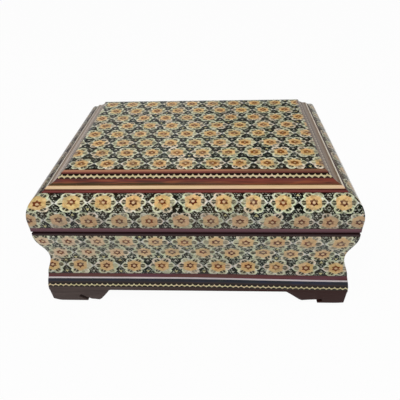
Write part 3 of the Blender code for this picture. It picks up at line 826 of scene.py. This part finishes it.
def moulding(name, side, section_at, material, body, nodes=()):
    """A mitred length of moulding. section_at gives its (out, up) points for a place across the box."""
    half = SIDES[side][0]
    tool = bmesh.new()
    layer = tool.loops.layers.uv.new("run")
    rings = []
    for step in range(MOULDING_STEPS + 1):
        share = 2 * step / MOULDING_STEPS - 1
        section = section_at(across_box(side, share * half))
        runs = lengths_of(section + section[:1])
        ring = []
        for (out, up), run in zip(section, runs):
            along = share * (half + out)
            ring.append((tool.verts.new(place(side, along, out, up)), (along, run)))
        vertex, (along, _) = ring[0]
        rings.append(ring + [(vertex, (along, runs[-1]))])
    for first, second in zip(rings, rings[1:]):
        for i in range(len(first) - 1):
            add_face(tool, layer, (first[i], second[i], second[i + 1], first[i + 1]))
    add_face(tool, layer, rings[0][:-1][::-1])
    add_face(tool, layer, rings[-1][:-1])
    bmesh.ops.recalc_face_normals(tool, faces=tool.faces)
    mesh = new_mesh(name, tool)
    smooth_by_angle(mesh)
    return new_object(name, mesh, material, body, nodes)


def steady(section):
    return lambda x: section


def strips(name, rows, grid, corner):
    """A mesh of strips side by side, each cut into a grid of faces. corner gives a point and its UV place.

    Neighbouring strips share their vertices, but not the UV places there.
    """
    columns, steps = grid
    tool = bmesh.new()
    layer = tool.loops.layers.uv.new("inlay")
    vertices = {}
    for row in range(rows):
        corners = {}
        for column, step in product(range(columns + 1), range(steps + 1)):
            point, uv = corner(row, column / columns, step / steps)
            key = (column, row * steps + step)
            if key not in vertices:
                vertices[key] = tool.verts.new(point)
            corners[column, step] = (vertices[key], uv)
        for i, j in product(range(columns), range(steps)):
            near, far = (corners[i, j], corners[i + 1, j]), (corners[i + 1, j + 1], corners[i, j + 1])
            add_face(tool, layer, near + far)
    return new_mesh(name, tool)


def inside_strip(share):
    """Keeps a place within its strip of the UV layer."""
    return min(max(share, 0.0005), 0.9995)


def veneer(name, side, line, edges, rows, first_row, cut, material, body, nodes):
    """A bent sheet of inlay on a ruled line.

    edges are the strips' edges by distance down the line, functions of the place across the box. Each row is
    a list of (along, distance) of its flowers' centres, and cut is how much of their height it keeps.
    """
    half = SIDES[side][0]
    counts = [[(along, i - 0.5) for i, (along, _) in enumerate(flowers)] for flowers in rows]

    def corner(row, column, step):
        x = across_box(side, (2 * column - 1) * (half + WAIST_OUT))
        start, end = edges[row](x), edges[row + 1](x)
        distance = start + (end - start) * step
        out, up = at_distance(line, distance)
        along = (2 * column - 1) * (half + out)
        hidden = 0.10 if row == 0 and body == "base" else 0.0
        share = between(distance, [(start, hidden), (held(along, rows[row]), 0.5), (end, 1.0)])
        share = inside_strip(0.5 + (share - 0.5) * cut[row])
        return place(side, along, out, up), (between(along, counts[row]) + 0.5, first_row + row + share)

    mesh = strips(name, len(rows), SIDE_GRID, corner)
    smooth_by_angle(mesh, 60)
    obj = new_object(name, mesh, material, body, nodes)
    outward = Vector(place(side, 0, 1, 0, False)) - Vector(place(side, 0, 0, 0, False))
    if mesh.polygons[len(mesh.polygons) // 2].normal.dot(outward) < 0:
        mesh.flip_normals()
    thicken(obj, VENEER)


def top_sheet(material):
    """The flat inlay of the top field, eight strips of flowers."""
    middles = [TOP_FIRST_ROW + ROW * row for row in range(len(TOP_OFFSETS))]
    edges = [-FIELD_HALF_DEPTH] + [middle + ROW * 0.5 for middle in middles[:-1]] + [FIELD_HALF_DEPTH]

    def corner(row, column, step):
        x = FIELD_HALF_LENGTH * (2 * column - 1)
        y = edges[row] + (edges[row + 1] - edges[row]) * step
        dip = UNEVEN * 0.5 * smooth_luck(x * 0.03, y * 0.03, 7.0)
        spread = min(x, 0.0) + max(x, 0.0) / TOP_SPREAD
        uv = (spread / PITCH - TOP_OFFSETS[row], row + inside_strip((middles[row] - y) / ROW + 0.5))
        return in_metres(x, y, FRAME_LINE[0][1] - dip), uv

    mesh = strips("top_inlay", len(TOP_OFFSETS), TOP_GRID, corner)
    mesh.shade_smooth()
    thicken(new_object("top_inlay", mesh, material, "lid", ["lid_field_veneer"]), VENEER)


def foot_board(name, side, sign, profile, kerf, worn, material, nodes):
    """One shaped board of a bracket foot: mitred at the corner, worn round below, with a slanting kerf.

    profile holds (distance from the corner, height of the lower edge); kerf holds two (distance, up) ends and
    a width. The kerf stops short of the board's inner face.
    """
    corner = SIDES[side][0] + FOOT_OUT
    inner, face = FOOT_OUT - FOOT_THICKNESS, FOOT_OUT - FOOT_TAPER
    distances = [0.0, 0.5, 1.2, 2.0, 3.0, 4.2, 5.6, FOOT_MITRE]
    while distances[-1] < profile[-1][0] - 0.5:
        distances.append(distances[-1] + 0.5)
    distances.append(profile[-1][0])
    tool = bmesh.new()
    rings = []
    for distance in distances:
        # The outer edge rises towards the tail, and is rounded most at the corner
        low = between(distance, profile)
        raised = 0.62 * max(0.0, (low - 6.5) / 2.9) ** 2
        radius = min(0.3 + worn * max(0.0, 1.0 - distance / 6.0) ** 1.5, (10.0 - low - raised) * 0.4)
        section = [(inner, low), (face - radius - 0.6, low)]
        for step in range(5):
            angle = math.pi / 2 * step / 4
            rise = raised + radius - radius * math.cos(angle)
            section.append((face - radius + radius * math.sin(angle), low + rise))
        section += FOOT_SHOULDER + [(inner, FOOT_TOP)]
        mitre = max(0.0, 1.0 - distance / FOOT_MITRE)
        rings.append([
            tool.verts.new(place(side, sign * (corner - distance - (FOOT_OUT - out) * mitre), out, up, False))
            for out, up in section
        ])
    close_in(tool, rings)
    mesh = new_mesh(name, tool)

    (start, start_up), (end, end_up), width = kerf
    half_width = width / 2 / math.dist(*kerf[:2])
    across, down = (end_up - start_up) * half_width, (start - end) * half_width
    corners = [(start + across, start_up + down), (end + across, end_up + down)]
    corners += [(end - across, end_up - down), (start - across, start_up - down)]
    tool = bmesh.new()
    close_in(tool, [
        [tool.verts.new(place(side, sign * (corner - distance), out, up, False)) for distance, up in corners]
        for out in (FOOT_OUT + KERF_END, inner + KERF_END)
    ])
    final = cut_away(name, mesh, new_mesh(name + "_kerf", tool))
    new_object(name, final, material, "base", nodes)


def cut_away(name, mesh, cutter_mesh):
    """The mesh with the cutter's shape taken out of it."""
    solid = in_scene(name, mesh)
    cutter = in_scene(name + "_cutter", cutter_mesh)
    cut = solid.modifiers.new("cut", "BOOLEAN")
    cut.operation = "DIFFERENCE"
    cut.object = cutter
    cut.solver = "EXACT"
    bpy.context.view_layer.update()
    final = bpy.data.meshes.new_from_object(solid.evaluated_get(bpy.context.evaluated_depsgraph_get()))
    bpy.data.objects.remove(solid)
    bpy.data.objects.remove(cutter)
    final.name = name
    final.materials.clear()
    smooth_by_angle(final, 30)
    return final


def padded_sheet(name, corners, up, thickness, material, body, nodes):
    """A velvet-covered board with soft edges and a slightly uneven face, down in the lid, up in the base."""
    (x0, y0), (x1, y1) = corners
    inward = 1.0 if body == "base" else -1.0
    columns, rows = VELVET_GRID
    tool = bmesh.new()
    grid = {}
    for i, j in product(range(columns + 1), range(rows + 1)):
        x, y = x0 + (x1 - x0) * i / columns, y0 + (y1 - y0) * j / rows
        fall = math.exp(-min(x - x0, x1 - x, y - y0, y1 - y) / 0.9)
        puff = VELVET_UNEVEN * (smooth_luck(x * 0.06, y * 0.06, up) - 1.0)
        grid[i, j] = tool.verts.new(in_metres(x, y, up + inward * (puff - fall * thickness * 0.45)))
    for i, j in product(range(columns), range(rows)):
        corner_vertices = [grid[i, j], grid[i + 1, j], grid[i + 1, j + 1], grid[i, j + 1]]
        tool.faces.new(corner_vertices if inward > 0 else corner_vertices[::-1]).smooth = True
    for edge in tool.edges:
        edge.smooth = not edge.is_boundary
    obj = new_object(name, new_mesh(name, tool), material, body, nodes)
    thicken(obj, thickness * 0.5)


def turned_screw(name, node, material, body):
    """A countersunk screw with a slot, in the place of its plain solid. Its sizes are in metres."""
    low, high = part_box(node)
    centre = (low + high) / 2
    radius, length = (high.x - low.x) / 2, high.z - low.z
    inwards = 1.0 if body == "lid" else -1.0
    head = low.z if body == "lid" else high.z
    tool = bmesh.new()
    rings = []
    for reach, depth in ((radius * 0.96, 0.0), (radius, HEAD_EDGE), (STEM, HEAD_FOOT), (STEM, length - TIP)):
        ring = []
        for step in range(SCREW_STEPS):
            angle = 2 * math.pi * step / SCREW_STEPS
            x, y = centre.x + reach * math.cos(angle), centre.y + reach * math.sin(angle)
            ring.append(tool.verts.new((x, y, head + inwards * depth)))
        rings.append(ring)
    close_in(tool, rings, tool.verts.new((centre.x, centre.y, head + inwards * length)))
    mesh = new_mesh(name, tool)
    tool = bmesh.new()
    bmesh.ops.create_cube(tool, size=1.0)
    angle = random.Random(name).uniform(0, math.pi)
    matrix = Matrix.Translation((centre.x, centre.y, head)) @ Matrix.Rotation(angle, 4, "Z")
    matrix = matrix @ Matrix.Diagonal((radius * 3, SLOT_WIDTH, SLOT_DEPTH * 2, 1.0))
    bmesh.ops.transform(tool, matrix=matrix, verts=tool.verts)
    final = cut_away(name, mesh, new_mesh(name + "_slot", tool))
    new_object(name, final, material, body, [node])


# The materials, in pairs of long and short sides where these differ

# On the lid and its sides, the lower bulge's strip is painted darker and greyer, as shade and haze
lid_khatam = (
    khatam_material(
        "khatam_inlay_lid", 0.40, 0.45, 0.05, 1.0, body=0.296, dot=0.046, bold=0.78, flecked=0.34,
    ),
    # The sides' inlay: rubbed and dirty to the left, a painted grey reflection haze to the right
    khatam_material("khatam_inlay_side", 0.80, 0.60, 0.10, 1.0, worn=True, body=0.296),
)
# On the base, the skirt's strip is painted darker and greyer as shade, and the strips above are paler, palest
# to the left as a painted reflection
base_khatam = khatam_material("khatam_inlay_base", 0.30, 0.20, 0.18, 7.0, 0.45, body=0.270, bold=0.85)
bead_wood = (
    wood_material("bead_wood", (164, 98, 76), (130, 70, 54), bead_shade),
    # Greyer on the short sides: hazed lacquer and a painted reflection haze
    wood_material("side_bead_wood", (136, 112, 92), (108, 84, 66), coat=0.5),
)
slope_wood = (
    wood_material("slope_wood", (128, 54, 40), (92, 38, 32), slope_shade),
    # Greyer on the short sides: hazed lacquer and a painted reflection haze
    wood_material("side_slope_wood", (140, 116, 90), (116, 92, 70), side_slope_shade, coat=0.5),
)
pale_wood = (
    wood_material("pale_wood", (240, 208, 166), (224, 188, 142), pale_shade, 0.42),
    # Whiter on the short sides: hazed lacquer and a painted reflection haze
    wood_material("side_pale_wood", (244, 232, 210), (226, 210, 184), pale_shade, 0.42),
)
lid_wood = {
    "x": wood_material("lid_wood_x", (128, 58, 50), (96, 38, 38), lid_shade, coat=0.5, axis="x"),
    "y": wood_material("lid_wood_y", (92, 60, 48), (64, 40, 32), lid_shade, coat=0.3, axis="y"),
}
case_wood, foot_wood = {}, {}
for axis in "xy":
    case_wood[axis] = wood_material(
        f"case_wood_{axis}", (104, 60, 44), (62, 32, 26), case_shade, 0.5, 0.2, 0.25, axis,
    )
    foot_wood[axis] = wood_material(
        f"foot_wood_{axis}", (88, 74, 70), (66, 53, 50), foot_shade, 0.62, 0.1, 0.35, axis,
    )
red_band = wood_material("red_band", (106, 50, 51), (80, 36, 39), red_shade, coat=0.25)
bone_band = wood_material("bone_band", (220, 210, 210), (196, 186, 190), coat=0.3, streaks=0.6)
navy_band = wood_material("navy_band", (40, 37, 46), (20, 24, 36), navy_shade, coat=0.2)
sole_band = wood_material("sole_band", (88, 74, 70), (66, 53, 50), foot_shade, 0.62, 0.1, 0.35)
UPPER_BRAID = (3.34, 1.72, (0.35, 1.45, 2.05, 3.20), (2.9, 3.4))
upper_braid = (
    braid_material("upper_braid", *UPPER_BRAID, 0.6, (
        (216, 200, 158), (196, 180, 132), (220, 192, 166), (26, 12, 3), (36, 12, 4), (92, 42, 36),
    )),
    # Greyer and paler on the short sides: hazed lacquer and a painted reflection haze
    braid_material("side_braid", *UPPER_BRAID, 0.5, (
        (182, 164, 138), (164, 146, 118), (180, 152, 134), (92, 74, 56), (96, 72, 56), (112, 88, 70),
    )),
)
lower_braid = braid_material("lower_braid", 3.28, 0.0, (0.62, 1.72, 2.02, 3.05), (3.0, 3.6), 0.2, (
    (220, 208, 164), (200, 186, 136), (224, 196, 162), (24, 14, 3), (22, 14, 4), (58, 39, 33),
))
velvet = velvet_material()
brass = brass_material()

# The top, the frame, the inlaid sides and the plinth

top_sheet(khatam_material(
    "khatam_inlay_top", 0.42, 0.68, 0.06, loop=0.036, tile=0.14, dot=0.034, bold=1.2, flecks=0.45, amber=0.7,
))
bead = rounded(FRAME_LINE[:2], BEAD_BULGE, 12)
FRAME = [
    ("bead", bead[:10], bead_wood, "moulding_wood", "moulding"),
    ("braid", bead[9:] + [FRAME_LINE[2]], upper_braid, "moulding_wood", ""),
    ("slope", rounded(FRAME_LINE[2:4], SLOPE_BULGE, 6), slope_wood, "moulding_wood", ""),
    ("pale_line", rounded(FRAME_LINE[3:], LINE_BULGE, 4), pale_wood, "pale_line", "line"),
]
FRAME_EDGES = [0.1, bead[9][0], FRAME_LINE[2][0], FRAME_LINE[3][0], 9.95]

# Measured places of the front's flowers: along the row, and down the sheet
FRONT_FLOWERS = [
    [
        (-84.8, 7.5), (-65.8, 5.9), (-48.0, 6.2), (-31.7, 6.0), (-16.1, 5.6), (0.6, 5.4),
        (17.3, 5.9), (33.0, 6.1), (48.5, 6.5), (64.8, 6.4), (80.5, 6.5),
    ],
    [
        (-91.0, 16.6), (-74.0, 16.2), (-57.3, 17.4), (-39.9, 17.2), (-23.6, 17.0), (-6.0, 16.8),
        (10.2, 17.0), (25.9, 17.4), (43.2, 17.8), (58.8, 17.9), (73.9, 17.9), (89.4, 17.8),
    ],
    [
        (-87.0, 4.5), (-72.0, 5.0), (-55.2, 4.7), (-38.6, 4.9), (-21.7, 4.8), (-5.0, 5.0),
        (12.6, 4.9), (29.7, 5.6), (47.6, 5.5), (64.4, 6.2), (82.4, 6.4),
    ],
    [
        (-80.0, 16.5), (-63.2, 15.6), (-46.0, 16.4), (-29.5, 15.2), (-13.2, 15.8), (5.2, 15.0),
        (21.6, 16.5), (40.1, 15.4), (55.8, 17.1), (74.5, 17.0), (91.0, 17.0),
    ],
    [
        (-86.5, 25.6), (-69.6, 25.4), (-53.2, 26.2), (-36.7, 26.0), (-19.8, 26.1), (-2.7, 25.6),
        (13.7, 26.0), (32.0, 26.0), (48.1, 26.4), (65.8, 27.0), (82.9, 27.1),
    ],
]
# The pitch and the middle of the same rows on the other sides
GUESSED_ROWS = ((16.3, 6.0), (16.3, 17.2), (17.0, 5.2), (17.0, 16.0), (17.0, 26.2))
# The edges of their strips by distance down the sheet, for a place across the box, and the share of their
# flowers' height that the strips keep
PLINTH_START = 31.2
LID_EDGES = [lambda x: 0.0, lambda x: 11.9 + 0.004 * x, lambda x: 22.6]
BODY_EDGES = [
    lambda x: 0.0,
    lambda x: 10.8 + held(x, DRIFT) * 1.4,
    lambda x: 20.8 + held(x, DRIFT) * 0.8,
    lambda x: PLINTH_START + held(x, DRIFT),
]
LID_CUT = (0.97, 0.90)
BODY_CUT = (0.90, 0.78, 0.95)
lid_line = ruled(bulge_line())
base_line = ruled(ogee_line() + PLINTH_LINE)

# The plinth's bands: name, bulge and material, and their upper edges by distance down the base's line
PLINTH = [
    ("red", 0.06, red_band), ("bone", 0.08, bone_band), ("navy", 0.06, navy_band),
    ("braid", 0.0, lower_braid), ("sole", 0.0, sole_band),
]
PLINTH_EDGES = [PLINTH_START, 33.5, 34.55, 37.5, 41.1]


def band_section(number, bulge):
    """The section of a band of the plinth, whose edges wander together. The last reaches down to the foot."""
    last = number + 1 == len(PLINTH_EDGES)

    def section(x):
        drift, settling = held(x, DRIFT), held(x, SETTLING)
        start = PLINTH_EDGES[number] + drift + (settling if number else 0.0)
        end = base_line[0][-1][0] if last else PLINTH_EDGES[number + 1] + drift + settling
        points = [at_distance(base_line, start + (end - start) * step / 4) for step in range(5)]
        face = [(out + bulge * math.sin(math.pi * step / 4), up) for step, (out, up) in enumerate(points)]
        lower = PLINTH_FOOT if last else [(PLINTH_INNER, points[-1][1])]
        return face + lower + [(PLINTH_INNER, points[0][1])]

    return section


for turn, (side, (half, _)) in enumerate(SIDES.items()):
    short = turn % 2
    for (part, face, woods, slot, node), inner, outer in zip(FRAME, FRAME_EDGES, FRAME_EDGES[1:]):
        section = steady(face + [(outer, FRAME_BOTTOM), (inner, FRAME_BOTTOM)])
        nodes = [f"lid_{node}_{side}"] if node else []
        moulding(f"lid_{part}_{side}", side, section, woods[short], "lid", nodes)
    rows = FRONT_FLOWERS
    if side != "front":
        rows = [
            flower_centres(half + EDGE_WIDTH, pitch, middle, f"{side} {row}")
            for row, (pitch, middle) in enumerate(GUESSED_ROWS)
        ]
    veneer(
        f"lid_inlay_{side}", side, lid_line, LID_EDGES, rows[:2], 20 + 10 * turn, LID_CUT,
        lid_khatam[short], "lid", [f"lid_veneer_{side}"],
    )
    veneer(
        f"base_inlay_{side}", side, base_line, BODY_EDGES, rows[2:], 25 + 10 * turn, BODY_CUT,
        base_khatam, "base", [f"base_veneer_{side}"],
    )
    for number, (part, bulge, look) in enumerate(PLINTH):
        section_at = band_section(number, bulge)
        nodes = [] if number else [f"base_plinth_{side}"]
        moulding(f"plinth_{part}_{side}", side, section_at, look, "base", nodes)

# Velvet: floor, lid and the four walls
for name, body in (("base_floor_lining", "base"), ("lid_lining", "lid")):
    low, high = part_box(name)
    corners = [(low.x / MM, low.y / MM - BOX_SHIFT), (high.x / MM, high.y / MM - BOX_SHIFT)]
    face = high.z / MM if body == "base" else low.z / MM
    padded_sheet(f"velvet_{name}", corners, face, (high.z - low.z) / MM, velvet, body, [name])
for side in SIDES:
    low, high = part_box(f"base_lining_{side}")
    foot, top = low.z / MM, high.z / MM
    section = [
        (LINING_OUTER, foot), (LINING_OUTER, top - 0.5), (LINING_OUTER - 0.25, top - 0.1),
        (LINING_OUTER - 0.6, top), (LINING_INNER + 0.2, top - 0.15),
        (LINING_INNER, top - 0.6), (LINING_INNER, foot),
    ]
    wall = moulding(
        f"velvet_wall_{side}", side, steady(section), velvet, "base", [f"base_lining_{side}"],
    )

# The part's own solids that stay in sight
for name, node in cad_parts.items():
    axis = "y" if name.endswith(("_left", "_right")) else "x"
    if name.startswith("lid_rail"):
        look = lid_wood[axis]
    elif name.startswith("hinge_"):
        look = brass
    else:
        look = case_wood[axis]
    node.data.materials.clear()
    node.data.materials.append(look)
for name in list(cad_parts):
    if "_screw_" in name:
        turned_screw(name.replace("hinge_", "slotted_"), name, brass, "lid" if "_lid_" in name else "base")

# Bracket feet: the lower edge and the kerf of the front two as measured, and of the rest alike
COMMON_FOOT = (
    [
        (0.0, 0.0), (19.5, 0.0), (20.3, 1.7), (25.0, 1.6), (28.5, 1.5),
        (30.0, 2.6), (32.5, 5.0), (35.0, 7.3), (37.0, 8.8), (39.0, 9.4),
    ],
    ((20.9, 0.2), (16.6, 3.8), 1.6),
)
LEFT_FOOT = (
    [
        (0.0, 0.0), (22.9, 0.0), (23.8, 1.5), (27.5, 1.2), (30.0, 0.8),
        (31.4, 1.6), (33.4, 3.9), (35.4, 6.4), (37.0, 8.4), (38.6, 9.4),
    ],
    ((24.9, 0.1), (18.2, 4.7), 2.7),
)
RIGHT_FOOT = (
    [
        (0.0, 0.0), (16.6, 0.0), (17.0, 2.9), (22.0, 2.6), (26.2, 2.1),
        (28.0, 3.0), (31.0, 5.4), (33.6, 7.4), (36.0, 8.8), (39.0, 9.4),
    ],
    ((17.8, 1.6), (14.0, 2.8), 2.2),
)
for end, sign, front, worn in (("left", -1, LEFT_FOOT, 2.0), ("right", 1, RIGHT_FOOT, 0.6)):
    for foot, side, turned, shape, axis in (
        (f"front_{end}_long", "front", sign, front, "x"),
        (f"front_{end}_short", end, -sign, COMMON_FOOT, "y"),
        (f"back_{end}_long", "back", -sign, COMMON_FOOT, "x"),
        (f"back_{end}_short", end, sign, COMMON_FOOT, "y"),
    ):
        foot_board(f"bracket_{foot}", side, turned, *shape, worn, foot_wood[axis], [f"foot_{foot}"])


# Camera, light and backdrop

AZIMUTH, ELEVATION, ROLL = math.radians(3.51), math.radians(33.98), math.radians(-2.02)
CAMERA_PLACE = (0.0158025, -0.2557841, 0.2005389)
SENSOR_WIDTH = 36.0
PICTURE_WIDTH = 400
FOCAL_LENGTH = 419.4
WHITE = (1.0, 1.0, 1.0, 1.0)
FLOOR_REACH = 3.0
FLOOR_HEIGHT = -0.0002

level = math.cos(ELEVATION)
back = Vector((math.sin(AZIMUTH) * level, -math.cos(AZIMUTH) * level, math.sin(ELEVATION)))
right = Vector((math.cos(AZIMUTH), math.sin(AZIMUTH), 0.0))
up = back.cross(right)
turned_right = math.cos(ROLL) * right + math.sin(ROLL) * up
turned_up = -math.sin(ROLL) * right + math.cos(ROLL) * up
camera_data = bpy.data.cameras.new("camera")
camera_data.sensor_width = SENSOR_WIDTH
camera_data.lens = FOCAL_LENGTH / PICTURE_WIDTH * SENSOR_WIDTH
camera_data.clip_start, camera_data.clip_end = 0.01, 20.0
camera = in_scene("camera", camera_data)
basis = Matrix((turned_right, turned_up, back)).transposed().to_4x4()
camera.matrix_world = Matrix.Translation(CAMERA_PLACE) @ basis
bpy.context.scene.camera = camera


def area_light(name, centre, target, size, power):
    data = bpy.data.lights.new(name, "AREA")
    data.size = size
    data.energy = power
    light = in_scene(name, data)
    direction = Vector(target) - Vector(centre)
    light.matrix_world = Matrix.Translation(centre) @ direction.to_track_quat("-Z", "Y").to_matrix().to_4x4()
    return light


def rays(tree):
    """1 for what the camera sees, straight or through glass, and 1 for what is seen mirrored."""
    path = new_node(tree, "LightPath", {})
    straight, through, mirrored = (
        Value(tree, path.outputs[f"Is {kind} Ray"]) for kind in ("Camera", "Transmission", "Glossy")
    )
    return straight.most(through), mirrored


def studio_world():
    """White to the camera, a pale backdrop and a soft ceiling in gloss, and plain grey light for the rest."""
    world = bpy.data.worlds.new("world")
    bpy.context.scene.world = world
    world.use_nodes = True
    tree = world.node_tree
    seen, glossy = rays(tree)
    _, depth, height = parts_of(tree, new_node(tree, "TexCoord", {}).outputs["Generated"])
    backdrop = height.fall(0.05, 0.30) * depth.rise(-0.3, 0.3)
    ceiling = height.rise(0.55, 0.90) * depth.fall(-0.2, 0.3)
    shown = seen.most(glossy * (backdrop * 0.80 + ceiling * 0.30 + 0.08))
    plain = (1.0 - seen.most(glossy)) * 0.38
    background = tree.nodes["Background"]
    background.inputs["Color"].default_value = WHITE
    feed(tree, shown + plain, background.inputs["Strength"])


def studio_floor():
    """A pale floor that glows nearly white to the camera, keeps a shadow, and is duller in gloss far off."""
    mesh = bpy.data.meshes.new("floor")
    far = FLOOR_REACH
    corners = [(x, y, FLOOR_HEIGHT) for x, y in ((-far, -far), (far, -far), (far, far), (-far, far))]
    mesh.from_pydata(corners, [], [(0, 1, 2, 3)])
    floor = in_scene("floor", mesh)
    looks = {"Roughness": 0.9, "Specular IOR Level": 0.1, "Base Color": (0.72, 0.72, 0.72, 1.0)}
    material, tree, shader = new_material("floor", looks)
    seen, glossy = rays(tree)
    point = new_node(tree, "TexCoord", {}).outputs["Object"]
    distance = Value(tree, new_node(tree, "VectorMath", {0: point}, operation="LENGTH").outputs["Value"])
    strength = glossy * (distance.rise(0.25, 0.8) * -0.75) + 1.0
    glow = new_node(tree, "Emission", {"Color": WHITE, "Strength": strength})
    shown = (seen * 0.96).most(glossy * 0.93)
    blend = new_node(tree, "MixShader", {0: shown, 1: shader.outputs[0], 2: glow.outputs[0]})
    feed(tree, blend.outputs[0], tree.nodes["Material Output"].inputs["Surface"])
    mesh.materials.append(material)


key = area_light("key", (-0.15, -0.75, 1.45), (0.0, 0.0, 0.04), 1.2, 14.0)
key.visible_glossy = False
area_light("window", (-0.16, 0.62, 0.40), (-0.02, 0.0, 0.085), 0.42, 0.075)
area_light("window_heart", (-0.14, 0.60, 0.37), (-0.02, 0.0, 0.085), 0.22, 0.045)
studio_world()
studio_floor()

bpy.context.scene.view_settings.view_transform = "Standard"
